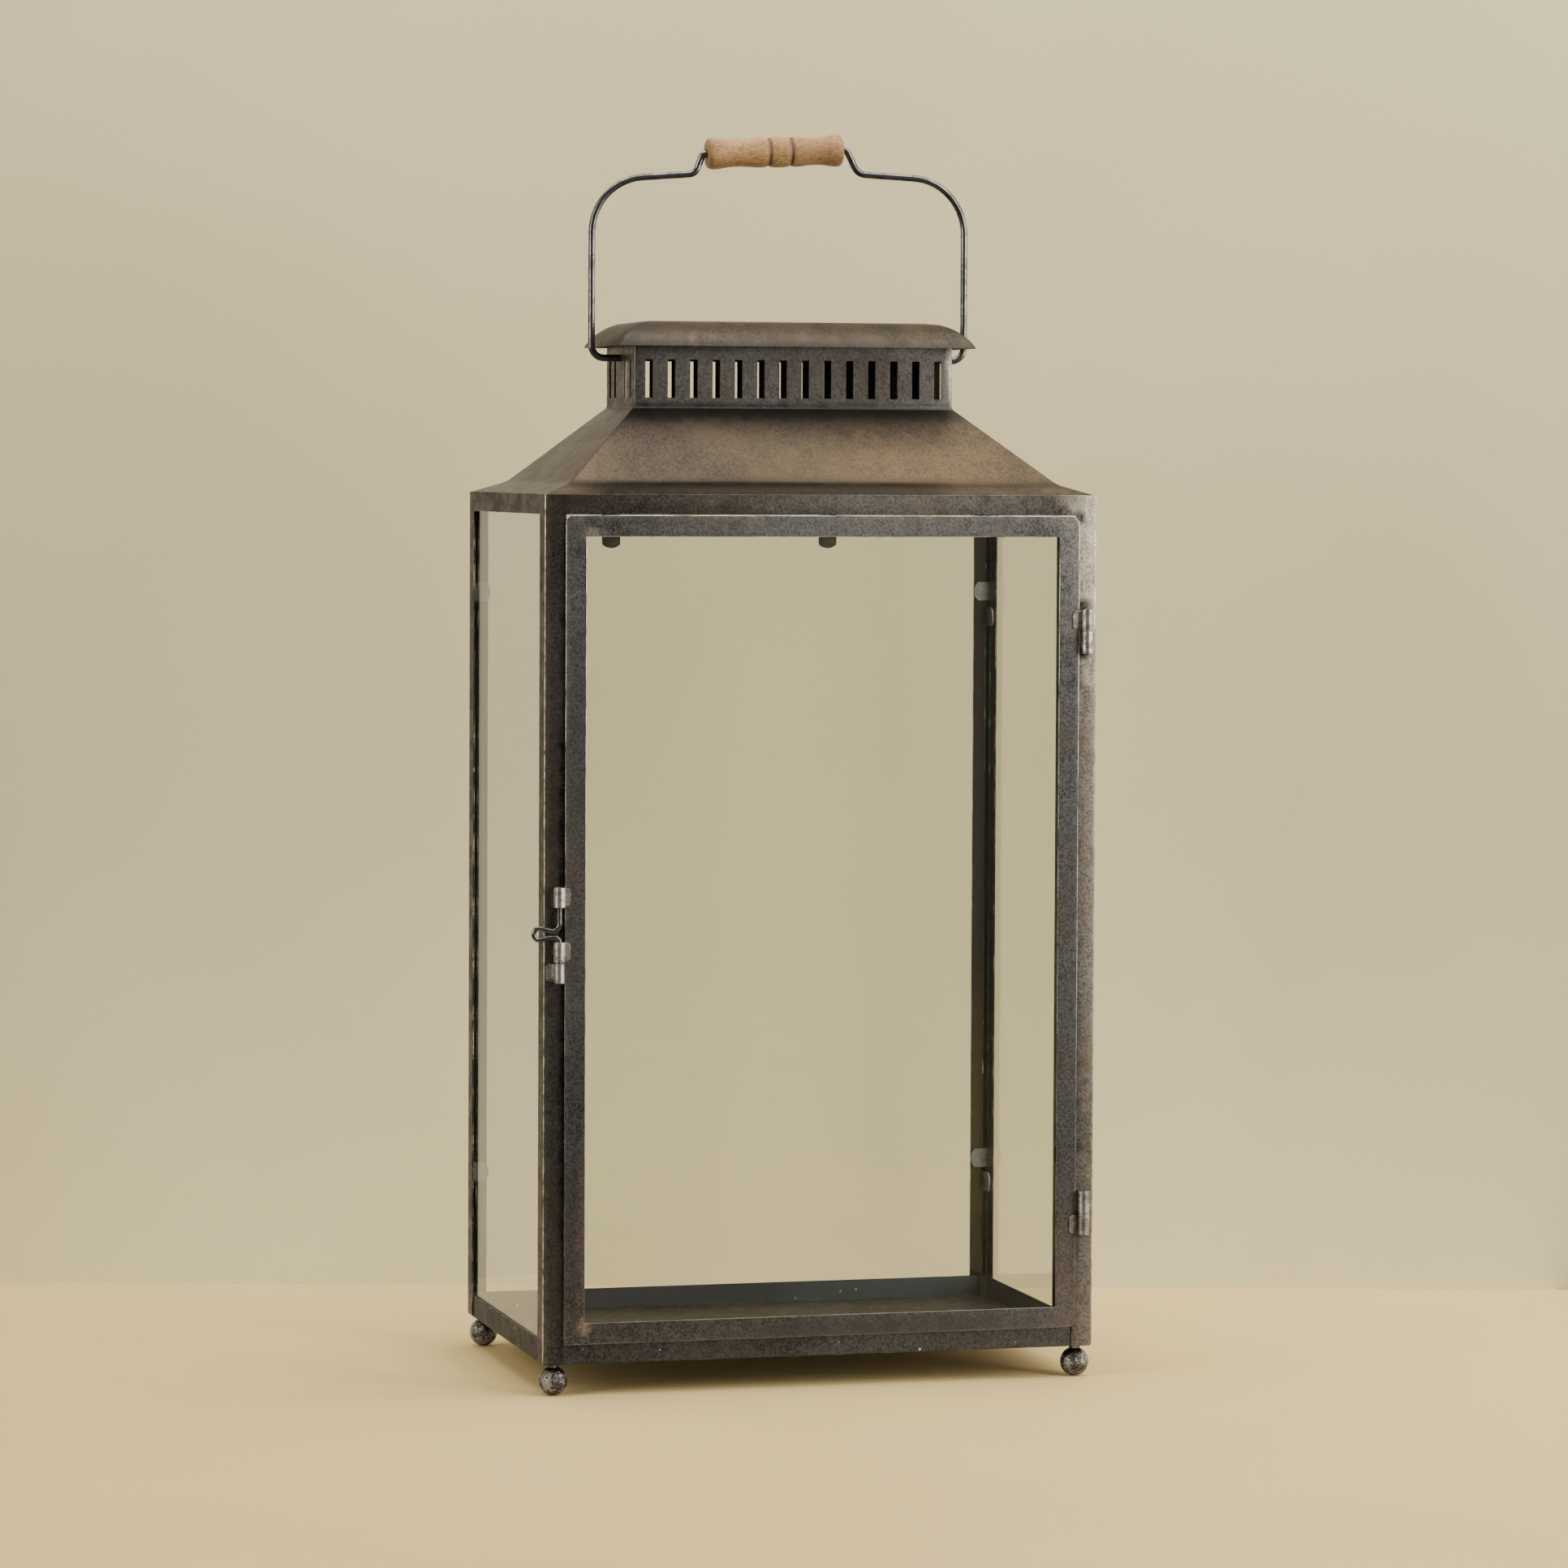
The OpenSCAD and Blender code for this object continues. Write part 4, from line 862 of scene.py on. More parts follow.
def make_mitred_shell():
    """Rings of a rectangle that shrinks by each profile point's inset, with soft corners."""
    tree, start, end = geometry_tree("mitred_shell", [
        ("Half Width", "Float", 0.1), ("Half Depth", "Float", 0.1), ("Corner Radius", "Float", 0.001),
        ("Corner Steps", "Int", 4), ("Material", "Material", None)])
    steps = start["Corner Steps"]
    per_corner = maths(tree, "ADD", steps, 1.0)
    across = maths(tree, "ADD", maths(tree, "MULTIPLY", per_corner, 4.0), 1.0)
    grid, column, inset, height = grid_rows(tree, across, start["Geometry"])
    corner = maths(tree, "FLOOR", maths(tree, "DIVIDE", maths(tree, "ADD", column, 0.5), per_corner))
    step = maths(tree, "SUBTRACT", column, maths(tree, "MULTIPLY", corner, per_corner))
    quarter = math.pi / 2
    turn = maths(tree, "MULTIPLY", maths(tree, "ADD", corner, maths(tree, "DIVIDE", step, steps)), quarter)
    middle = maths(tree, "MULTIPLY", maths(tree, "ADD", corner, 0.5), quarter)
    places = []
    room = maths(tree, "SUBTRACT", start["Half Depth"], inset)
    radius = maths(tree, "MAXIMUM", maths(tree, "MINIMUM", start["Corner Radius"], room), 0.0)
    for title, wave in (("Half Width", "COSINE"), ("Half Depth", "SINE")):
        side = maths(tree, "SIGN", maths(tree, wave, middle))
        half = maths(tree, "SUBTRACT", maths(tree, "SUBTRACT", start[title], inset), radius)
        places.append(maths(tree, "ADD", maths(tree, "MULTIPLY", side, half),
                            maths(tree, "MULTIPLY", radius, maths(tree, wave, turn))))
    shaped = placed(tree, "GeometryNodeSetPosition", Geometry=grid,
                    Position=combine(tree, places[0], places[1], height))
    closed = placed(tree, "GeometryNodeMergeByDistance", Geometry=shaped.outputs[0], Distance=2e-6)
    finish_tree(tree, end, closed.outputs[0], start["Material"])
    return tree


def make_turned():
    """Profile of (radius, height) points turned about the vertical axis, set out at points."""
    tree, start, end = geometry_tree("turned", [
        ("Steps", "Int", 48), ("Turn", "Vector", (0, 0, 0)), ("Place", "Vector", (0, 0, 0)),
        ("Spread X", "Float", 0.0), ("Spread Y", "Float", 0.0), ("Count", "Int", 1),
        ("Material", "Material", None)])
    across = maths(tree, "ADD", start["Steps"], 1.0)
    grid, column, radius, height = grid_rows(tree, across, start["Geometry"])
    angle = maths(tree, "MULTIPLY", maths(tree, "DIVIDE", column, start["Steps"]), 2 * math.pi)
    shaped = placed(tree, "GeometryNodeSetPosition", Geometry=grid, Position=combine(
        tree, maths(tree, "MULTIPLY", radius, maths(tree, "COSINE", angle)),
        maths(tree, "MULTIPLY", radius, maths(tree, "SINE", angle)), height))
    closed = placed(tree, "GeometryNodeMergeByDistance", Geometry=shaped.outputs[0], Distance=2e-6)
    turned = placed(tree, "GeometryNodeTransform", Geometry=closed.outputs[0],
                    Rotation=start["Turn"], Translation=start["Place"])
    spots = placed(tree, "GeometryNodeMeshGrid", Size_X=start["Spread X"], Size_Y=start["Spread Y"],
                   Vertices_X=start["Count"], Vertices_Y=start["Count"])
    points = placed(tree, "GeometryNodeMeshToPoints", Mesh=spots.outputs["Mesh"])
    copies = placed(tree, "GeometryNodeInstanceOnPoints", Points=points.outputs[0],
                    Instance=turned.outputs[0])
    finish_tree(tree, end, copies.outputs[0], start["Material"])
    return tree


def make_bent_wire():
    """Round wire along a path of straight runs, each corner bent to its own radius."""
    tree, start, end = geometry_tree("bent_wire", [
        ("Diameter", "Float", 0.004), ("Bend Steps", "Int", 12), ("Round Steps", "Int", 20),
        ("Material", "Material", None)])
    line = placed(tree, "GeometryNodeMeshToCurve", Mesh=start["Geometry"])
    radius = add_node(tree, "GeometryNodeInputNamedAttribute", data_type="FLOAT")
    radius.inputs["Name"].default_value = "bend_radius"
    bent = placed(tree, "GeometryNodeFilletCurve", Curve=line.outputs[0],
                  settings={"mode": "POLY"}, Count=start["Bend Steps"])
    feed(tree, bent.inputs["Radius"], radius.outputs["Attribute"])
    ring = placed(tree, "GeometryNodeCurvePrimitiveCircle", Resolution=start["Round Steps"],
                  Radius=maths(tree, "MULTIPLY", start["Diameter"], 0.5))
    swept = placed(tree, "GeometryNodeCurveToMesh", Curve=bent.outputs[0],
                   Profile_Curve=ring.outputs["Curve"], Fill_Caps=True)
    finish_tree(tree, end, swept.outputs[0], start["Material"])
    return tree


def make_slots():
    """Rows of slots and two bail holes cut through a collar's walls."""
    tree, start, end = geometry_tree("slotted_collar", [
        ("Slot Width", "Float", 0.005), ("Slot Low", "Float", 0.0), ("Slot High", "Float", 0.02),
        ("Pitch", "Float", 0.015), ("Count", "Int", 14), ("End Pitch", "Float", 0.014),
        ("End Count", "Int", 2), ("Hole Diameter", "Float", 0.005), ("Hole Height", "Float", 0.03),
        ("Through X", "Float", 0.3), ("Wall Y", "Float", 0.038), ("Cut Depth", "Float", 0.004),
        ("Rear Shift", "Float", 0.0), ("Material", "Material", None)])
    high = maths(tree, "SUBTRACT", start["Slot High"], start["Slot Low"])
    middle = maths(tree, "MULTIPLY", maths(tree, "ADD", start["Slot High"], start["Slot Low"]), 0.5)
    cutters = []
    long_cut = placed(tree, "GeometryNodeMeshCube",
                      Size=combine(tree, start["Slot Width"], start["Cut Depth"], high))
    run = maths(tree, "MULTIPLY", start["Pitch"], maths(tree, "SUBTRACT", start["Count"], 1.0))
    first = maths(tree, "MULTIPLY", run, -0.5)
    for way, shift in ((-1.0, 0.0), (1.0, start["Rear Shift"])):
        row = placed(tree, "GeometryNodeMeshLine", Count=start["Count"],
                     Start_Location=combine(tree, maths(tree, "ADD", first, shift),
                                            maths(tree, "MULTIPLY", start["Wall Y"], way), middle),
                     Offset=combine(tree, start["Pitch"], 0.0, 0.0))
        cutters.append(placed(tree, "GeometryNodeInstanceOnPoints", Points=row.outputs[0],
                              Instance=long_cut.outputs[0]))
    end_cut = placed(tree, "GeometryNodeMeshCube",
                     Size=combine(tree, start["Through X"], start["Slot Width"], high))
    for way in (1.0, -1.0):
        pitch = maths(tree, "MULTIPLY", start["End Pitch"], way)
        column = placed(tree, "GeometryNodeMeshLine", Count=start["End Count"],
                        Start_Location=combine(tree, 0.0, pitch, middle),
                        Offset=combine(tree, 0.0, pitch, 0.0))
        cutters.append(placed(tree, "GeometryNodeInstanceOnPoints", Points=column.outputs[0],
                              Instance=end_cut.outputs[0]))
    drill = placed(tree, "GeometryNodeMeshCylinder", Vertices=24, Depth=start["Through X"],
                   Radius=maths(tree, "MULTIPLY", start["Hole Diameter"], 0.5))
    cutters.append(placed(tree, "GeometryNodeTransform", Geometry=drill.outputs["Mesh"],
                          Rotation=(0.0, math.pi / 2, 0.0),
                          Translation=combine(tree, 0.0, 0.0, start["Hole Height"])))
    tools = add_node(tree, "GeometryNodeJoinGeometry")
    for cutter in cutters:
        tree.links.new(cutter.outputs[0], tools.inputs[0])
    real = placed(tree, "GeometryNodeRealizeInstances", Geometry=tools.outputs[0])
    cut = add_node(tree, "GeometryNodeMeshBoolean", operation="DIFFERENCE", solver="EXACT")
    feed(tree, cut.inputs["Mesh 1"], start["Geometry"])
    tree.links.new(real.outputs[0], cut.inputs["Mesh 2"])
    finish_tree(tree, end, cut.outputs["Mesh"], start["Material"])
    return tree


MITRED_SHELL = make_mitred_shell()
TURNED = make_turned()
BENT_WIRE = make_bent_wire()
SLOTTED_COLLAR = make_slots()


def profile_piece(name, points):
    """Wire mesh of profile points (across, height) in millimetres, for the trees above."""
    mesh = bpy.data.meshes.new(name)
    mesh.from_pydata([mm(a, 0, b) for a, b in points], [(i, i + 1) for i in range(len(points) - 1)], [])
    return new_piece(name, mesh)


def mitred_shell(name, profile, half_w, half_d, corner_r, *materials, steps=5):
    piece = run_tree(profile_piece(name, profile), MITRED_SHELL, Half_Width=half_w * MM,
                     Half_Depth=half_d * MM, Corner_Radius=corner_r * MM, Corner_Steps=steps,
                     Material=materials[0])
    face_outwards(piece)
    for material in materials[1:]:
        piece.data.materials.append(material)
    return piece


def face_outwards(piece):
    clean = bmesh.new()
    clean.from_mesh(piece.data)
    bmesh.ops.remove_doubles(clean, verts=clean.verts, dist=2e-6)
    bmesh.ops.dissolve_degenerate(clean, edges=clean.edges, dist=1e-6)
    bmesh.ops.recalc_face_normals(clean, faces=clean.faces)
    clean.to_mesh(piece.data)
    clean.free()


# ================================================================ case

def make_case_frame():
    """Posts and top rails: one folded wall with the windows left out, and its flange."""
    columns, window = [], []
    for side in range(4):
        a, b = (CASE_HALF_W, CASE_HALF_D) if side % 2 == 0 else (CASE_HALF_D, CASE_HALF_W)
        line = [(-a + POST_LEG, -b), (a - POST_LEG, -b)]
        for i in range(7):
            angle = math.radians(-90 + 15 * i)
            line.append((a - BEND_R + BEND_R * math.cos(angle), -b + BEND_R + BEND_R * math.sin(angle)))
        turn = Matrix.Rotation(math.pi / 2 * side, 2)
        columns += [turn @ Vector(point) for point in line]
        window += [True] + [False] * 8
    heights = (POST_FOOT_Z, RAIL_FOOT_Z, EAVE_Z)
    points = [(p.x, p.y, z) for p in columns for z in heights]
    faces = []
    for i in range(len(columns)):
        j = (i + 1) % len(columns)
        faces.append((3 * i + 1, 3 * j + 1, 3 * j + 2, 3 * i + 2))
        if not window[i]:
            faces.append((3 * i, 3 * j, 3 * j + 1, 3 * i + 1))
    wall = new_piece("wall", mesh_from("wall", points, faces, case_steel, case_edge))
    wall = solidified(wall, SHEET_T)
    inner = SHEET_T + 0.05
    flange = mitred_shell(
        "flange",
        [(inner, EAVE_Z - SHEET_T), (RAIL_FLANGE, EAVE_Z - SHEET_T), (RAIL_FLANGE, EAVE_Z - 0.02),
         (inner, EAVE_Z - 0.02), (inner, EAVE_Z - SHEET_T)],
        CASE_HALF_W, CASE_HALF_D, 0.6, case_steel, case_edge)
    frame_piece = bevelled(joined("case_frame", wall, flange), 0.28)
    # The solder under the roof's lip isn't rubbed bright
    for face in frame_piece.data.polygons:
        if face.center.z > (EAVE_Z - 0.6) * MM:
            face.material_index = 0
    return belong(frame_piece, "case", "blackened_steel",
                  "post_front_left", "post_front_right", "post_rear_left", "post_rear_right",
                  "top_rail_front", "top_rail_rear", "top_rail_left", "top_rail_right")


def make_tray():
    tray = node_copy("tray_folded", "base_tray")
    tray.data.materials.append(tray_steel)
    tray.data.materials.append(tray_edge)
    for face in tray.data.polygons:
        face.material_index = 0
    return belong(bevelled(tray, 0.3), "case", "blackened_steel", "base_tray")


def make_feet():
    """Turned balls on short stems, one under each corner."""
    ball_r, stem_r = FOOT_D / 2 - 0.04, FOOT_STEM_D / 2
    meets = math.asin(stem_r / ball_r)
    line = []
    for i in range(29):
        angle = math.pi - (math.pi - meets - 0.05) * i / 28
        line.append((ball_r * math.sin(angle), ball_r + ball_r * math.cos(angle)))
    top = line[-1][1]
    line += [(stem_r, top + 0.25), (stem_r, TRAY_Z - 0.02), (0.0, TRAY_Z - 0.02)]
    line[0] = (0.0, 0.0)
    feet = run_tree(profile_piece("ball_feet_turned", line), TURNED, Steps=44, Spread_X=2 * FEET_X * MM,
                    Spread_Y=2 * FEET_Y * MM, Count=2, Material=ball_steel)
    face_outwards(feet)
    smooth(feet.data, 50)
    return belong(feet, "case", "bright_steel", "ball_feet")


# ================================================================ roof and ventilator

def bent_line(points, radius, steps=14):
    """Polyline of three points with its corner rounded to a radius."""
    a, b, c = (Vector(point) for point in points)
    into, out = (b - a).normalized(), (c - b).normalized()
    turn = into.angle_signed(out) * -1
    tangent = radius * math.tan(abs(turn) / 2)
    side = 1 if turn > 0 else -1
    start = b - into * tangent
    normal = Vector((-into.y, into.x)) * side
    centre = start + normal * radius
    line = [a]
    for i in range(steps + 1):
        swing = Matrix.Rotation(turn * i / steps, 2)
        line.append(centre - swing @ (normal * radius))
    return line + [c]


def offset_line(line, depth):
    """The same line moved to its right-hand side by depth."""
    moved = []
    for i, point in enumerate(line):
        before = line[max(i - 1, 0)]
        after = line[min(i + 1, len(line) - 1)]
        along = (after - before).normalized()
        moved.append(point + Vector((along.y, -along.x)) * depth)
    return moved


def make_roof():
    """Four slopes with a flatter lip, soldered at soft hips."""
    outer = bent_line(ROOF_LINE, ROOF_BEND_R)
    inner = offset_line(outer, ROOF_T)
    inner[0] = Vector((outer[0].x + 2.6, 0.0))
    inner[-1] = Vector((ROOF_LINE[2][0], inner[-1].y - 0.3))
    loop = outer + inner[::-1] + [outer[0]]
    roof = mitred_shell("roof_shell", [(p.x, p.y + EAVE_Z) for p in loop], CASE_HALF_W, CASE_HALF_D,
                        1.4, roof_steel, roof_edge)
    smooth(roof.data, 35)
    return belong(roof, "case", "brown_steel", "roof_front", "roof_rear", "roof_left", "roof_right")


def make_neck():
    """Slotted collar with a soldered cove at its foot."""
    wall = [(0.0, NECK_FOOT_Z), (0.0, NECK_HEAD_Z), (SHEET_T, NECK_HEAD_Z), (SHEET_T, NECK_FOOT_Z),
            (0.0, NECK_FOOT_Z)]
    collar = mitred_shell("collar", wall, NECK_HALF_W, NECK_HALF_D, 1.5, neck_steel)
    collar = run_tree(
        collar, SLOTTED_COLLAR, Slot_Width=SLOT_W * MM, Slot_Low=SLOT_LOW_Z * MM,
        Slot_High=SLOT_HIGH_Z * MM, Pitch=SLOT_PITCH * MM, Count=SLOT_COUNT,
        End_Pitch=END_SLOT_PITCH * MM, End_Count=2, Hole_Diameter=BAIL_HOLE_D * MM,
        Hole_Height=PIVOT_Z * MM, Through_X=2.4 * NECK_HALF_W * MM, Wall_Y=NECK_HALF_D * MM,
        Cut_Depth=4 * SHEET_T * MM, Rear_Shift=REAR_SLOT_SHIFT * MM, Material=neck_steel)
    collar.data.materials.append(neck_edge)
    cove_r = 1.8
    line = [Vector((-cove_r * 0.9, ROOF_TOP_Z - cove_r * 0.9))]
    for i in range(7):
        angle = math.radians(90 * i / 6)
        line.append(Vector((-cove_r + cove_r * math.sin(angle), ROOF_TOP_Z + cove_r - cove_r * math.cos(angle)
                            - (1 - i / 6) * cove_r * 0.9)))
    line += [Vector((0.6, ROOF_TOP_Z + cove_r)), Vector((0.6, ROOF_TOP_Z - cove_r)), line[0]]
    cove = mitred_shell("cove", [(p.x, p.y) for p in line], NECK_HALF_W, NECK_HALF_D, 1.5,
                        neck_steel, neck_edge)
    collar = bevelled(collar, 0.16, segments=1)
    smooth(cove.data, 40)
    neck = joined("neck_collar", collar, cove)
    return belong(neck, "case", "blackened_steel", "vent_neck")


def make_cap():
    """Domed cap of thin sheet, mitred at its corners."""
    run = math.sqrt(CAP_SIDE_R ** 2 - (CAP_SIDE_R - CAP_RISE) ** 2)

    def dome(radius, from_inset):
        line = []
        for i in range(17):
            height = (CAP_RISE - (CAP_SIDE_R - radius)) * i / 16
            reach = math.sqrt(max(radius ** 2 - (CAP_SIDE_R - CAP_RISE + height) ** 2, 0.0))
            line.append((run - reach, CAP_Z + height))
        line[0] = (from_inset, CAP_Z)
        return line

    outer = dome(CAP_SIDE_R, 0.0)
    inner_r = CAP_SIDE_R - CAP_T
    inner_run = math.sqrt(inner_r ** 2 - (CAP_SIDE_R - CAP_RISE) ** 2)
    inner = dome(inner_r, run - inner_run)
    loop = [(CAP_HALF_D, outer[-1][1])] + outer[::-1] + inner + [(CAP_HALF_D, inner[-1][1])]
    cap = mitred_shell("cap_shell", loop, CAP_HALF_W, CAP_HALF_D, 1.6, cap_steel, cap_edge)
    cap = bevelled(cap, 0.3, angle=50)
    return belong(cap, "case", "brown_steel", "vent_cap")


# ================================================================ bail and grip

def bent_wire(name, path, radii, diameter, material, place=(0.0, 0.0, 0.0)):
    """Path of (x, z) points in millimetres at one depth."""
    mesh = bpy.data.meshes.new(name)
    points = [mm(place[0] + x, place[1], place[2] + z) for x, z in path]
    mesh.from_pydata(points, [(i, i + 1) for i in range(len(points) - 1)], [])
    bends = mesh.attributes.new("bend_radius", "FLOAT", "POINT")
    for i, radius in enumerate(radii):
        bends.data[i].value = radius * MM
    wire = run_tree(new_piece(name, mesh), BENT_WIRE, Diameter=diameter * MM, Bend_Steps=14,
                    Round_Steps=24, Material=material)
    face_outwards(wire)
    smooth(wire.data, 50)
    return wire


def make_bail():
    """Bail with drooping top runs and a crank that holds the grip, leaning a little."""
    tilt = math.radians(GRIP_TILT)
    reach = Vector((math.cos(tilt), math.sin(tilt))) * CRANK_HALF
    middle = Vector((-CRANK_SHIFT, GRIP_Z))
    high = (middle - reach, middle + reach)
    low = []
    for way, point, angle in zip((-1, 1), high, CRANK_ANGLES):
        z = BAIL_TOP_Z + way * BAIL_LEAN / 2
        low.append((point.x + way * (point.y - z) / math.tan(math.radians(angle)), z))
    path = [
        (-BAIL_FOOT_X, PIVOT_Z), (-BAIL_LEG_X, PIVOT_Z), (-BAIL_LEG_X, BAIL_TOP_Z - BAIL_FALL - BAIL_LEAN),
        low[0], high[0], high[1], low[1],
        (BAIL_LEG_X, BAIL_TOP_Z - BAIL_FALL + BAIL_LEAN), (BAIL_LEG_X, PIVOT_Z), (BAIL_FOOT_X, PIVOT_Z),
    ]
    radii = (0, 8, 36, CRANK_LOW_R[0], CRANK_HIGH_R, CRANK_HIGH_R, CRANK_LOW_R[1], 36, 8, 0)
    wire = bent_wire("bail_bent", path, radii, BAIL_D, wire_steel)
    return belong(wire, "bail", "bright_steel", "bail_wire")


GRIP_STATIONS = (
    (0.0, 0.975), (0.06, 0.968), (0.11, 0.94), (0.14, 0.9), (0.155, 0.84), (0.17, 0.84),
    (0.185, 0.9), (0.22, 0.935), (0.27, 0.95), (0.34, 0.935), (0.43, 0.895), (0.53, 0.868),
    (0.62, 0.868), (0.71, 0.895), (0.79, 0.95), (0.85, 0.985), (0.9, 1.0), (0.94, 0.985),
    (0.97, 0.93), (0.99, 0.84), (1.0, 0.7),
)


def make_grip():
    """Turned wooden grip, bored for the wire."""
    half, bore_r = GRIP_L / 2, BAIL_D / 2 + 0.7
    stations = [(GRIP_BEAD - s * (1 + GRIP_BEAD), d) for s, d in GRIP_STATIONS[:0:-1]]
    stations += [(GRIP_BEAD + s * (1 - GRIP_BEAD), d) for s, d in GRIP_STATIONS]
    grip_r = GRIP_D / 2 - 0.03
    coarse = [Vector((s * half, d * grip_r)) for s, d in stations]
    fine = []
    for i in range(len(coarse) - 1):
        a, b = coarse[max(i - 1, 0)], coarse[i]
        c, d = coarse[i + 1], coarse[min(i + 2, len(coarse) - 1)]
        for k in range(4):
            t = k / 4
            fine.append(0.5 * ((2 * b) + (c - a) * t + (2 * a - 5 * b + 4 * c - d) * t ** 2
                               + (3 * b - a - 3 * c + d) * t ** 3))
    fine.append(coarse[-1])
    loop = [(bore_r, -half)] + [(min(p.y, grip_r), max(-half, min(half, p.x))) for p in fine]
    loop += [(bore_r, half), (bore_r, -half)]
    tilt = math.radians(GRIP_TILT)
    place = mm(-CRANK_SHIFT + GRIP_SLIDE * math.cos(tilt), 0, GRIP_Z + GRIP_SLIDE * math.sin(tilt))
    grip = run_tree(profile_piece("grip_turned", loop), TURNED, Steps=64,
                    Turn=(0.0, math.pi / 2 - tilt, 0.0), Place=place, Material=wood)
    face_outwards(grip)
    smooth(grip.data, 45)
    return belong(grip, "grip", "wood", "bail_grip")


# ================================================================ door

def make_door_frame():
    """Face sheet with soft corners, and the rebate that holds the pane."""
    x0, x1 = DOOR_X
    z0, z1 = DOOR_Z
    inner = (x0 + DOOR_MEMBER, x1 - DOOR_MEMBER, z0 + DOOR_MEMBER, z1 - DOOR_MEMBER)
    points, faces = [], []

    def add(*flat):
        first = len(points)
        points.extend((x, DOOR_FACE_Y, z) for x, z in flat)
        faces.append(tuple(range(first, first + len(flat))))

    def corner(x_out, z_out, x_in, z_in, cut, steps):
        """Cut straight in one step, or rounded in more."""
        sx, sz = (1 if x_in > x_out else -1), (1 if z_in > z_out else -1)
        rounding = []
        for i in range(steps + 1):
            turn = math.pi / 2 * i / steps
            rounding.append((x_out + sx * cut * (1 - math.cos(turn)), z_out + sz * cut * (1 - math.sin(turn))))
        add(*rounding, (x_in, z_out), (x_in, z_in), (x_out, z_in))

    for x_out, x_in, side in ((x0, inner[0], "left"), (x1, inner[1], "right")):
        corner(x_out, z0, x_in, inner[2], DOOR_CORNERS["low_" + side], 5)
        corner(x_out, z1, x_in, inner[3], DOOR_CORNERS["high_" + side], 1)
    for x_out, x_in in ((x0, inner[0]), (x1, inner[1])):
        add((x_out, inner[2]), (x_in, inner[2]), (x_in, inner[3]), (x_out, inner[3]))
    for z_out, z_in in ((z0, inner[2]), (z1, inner[3])):
        add((inner[0], z_out), (inner[1], z_out), (inner[1], z_in), (inner[0], z_in))
    face = new_piece("face", mesh_from("face", points, faces, door_steel, door_edge))
    front = face.data.polygons[0].normal.y < 0
    face = solidified(face, DOOR_BACK_Y - DOOR_FACE_Y, -1.0 if front else 1.0)

    pane = (inner[0] - DOOR_LIP, inner[1] + DOOR_LIP, inner[2] - DOOR_LIP, inner[3] + DOOR_LIP)
    ring = []
    for grow in (0.0, SHEET_T):
        for y in (DOOR_BACK_Y - 0.02, DOOR_WEB_Y):
            ring += [(pane[0] - grow, y, pane[2] - grow), (pane[1] + grow, y, pane[2] - grow),
                     (pane[1] + grow, y, pane[3] + grow), (pane[0] - grow, y, pane[3] + grow)]
    sides = []
    for i in range(4):
        j = (i + 1) % 4
        sides += [(i, j, 4 + j, 4 + i), (8 + i, 8 + j, 12 + j, 12 + i), (i, j, 8 + j, 8 + i),
                  (4 + i, 4 + j, 12 + j, 12 + i)]
    web = new_piece("web", mesh_from("web", ring, sides, door_steel, door_edge))
    door = bevelled(joined("door_frame", face, web), 0.42)
    return belong(door, "door", "blackened_steel",
                  "door_stile_latch", "door_stile_hinge", "door_rail_top", "door_rail_bottom")


def make_pane(name, node, body):
    """Cut pane: clear faces and green edges."""
    low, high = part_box(node)
    mesh = bpy.data.meshes.new(name)
    shape = bmesh.new()
    bmesh.ops.create_cube(shape, size=1.0)
    for vertex in shape.verts:
        for axis in range(3):
            middle = (low[axis] + high[axis]) / 2
            vertex.co[axis] = middle + vertex.co[axis] * (high[axis] - low[axis])
    shape.to_mesh(mesh)
    shape.free()
    mesh.materials.append(glass)
    mesh.materials.append(pane_edge)
    spans = [high[i] - low[i] for i in range(3)]
    thin = spans.index(min(spans))
    for face in mesh.polygons:
        face.material_index = 0 if abs(face.normal[thin]) > 0.5 else 1
    pane = bevelled(new_piece(name, mesh), 0.2, segments=1)
    return belong(pane, body, "glass", node)


# ================================================================ hinges and latch

def rolled_strip(outer_r, wall, length, leaf_side, leaf_reach, leaf_y, leaf_share):
    """Points and faces of a strip rolled into a barrel, with its flat leaf, round the origin."""
    mid_r = outer_r - wall / 2
    path = []
    root = min(leaf_y / mid_r, 1.0)
    meet = math.degrees(math.asin(root))
    first_x = -math.sqrt(max(mid_r ** 2 - min(leaf_y, mid_r) ** 2, 0.0))
    leaf_l = leaf_share * length
    for share, squeeze in ((1.0, 1.5), (0.86, 0.35), (0.7, 0.0), (0.3, 0.0)):
        x = first_x + (-leaf_reach - first_x) * share
        path.append((x, leaf_y, LEAF_T, leaf_l - 2 * squeeze))
    path.append((first_x - 0.35, leaf_y, LEAF_T, leaf_l))
    start, sweep, steps = 180 - meet, 306, 34
    for i in range(steps + 1):
        angle = math.radians(start - 6 - (sweep - 6) * i / steps)
        path.append((mid_r * math.cos(angle), mid_r * math.sin(angle), wall, length))
    points, faces = [], []
    for i, (x, y, thick, high) in enumerate(path):
        before, after = path[max(i - 1, 0)], path[min(i + 1, len(path) - 1)]
        along = Vector((after[0] - before[0], after[1] - before[1])).normalized()
        out = Vector((-along.y, along.x)) * thick / 2
        for way in (1, -1):
            for z in (-high / 2, high / 2):
                points.append((-leaf_side * (x + way * out.x), y + way * out.y, z))
    for i in range(len(path) - 1):
        a, b = 4 * i, 4 * i + 4
        faces += [(a, b, b + 1, a + 1), (a + 2, a + 3, b + 3, b + 2), (a, a + 2, b + 2, b),
                  (a + 1, b + 1, b + 3, a + 3)]
    last = 4 * (len(path) - 1)
    faces += [(0, 1, 3, 2), (last, last + 2, last + 3, last + 1)]
    return points, faces


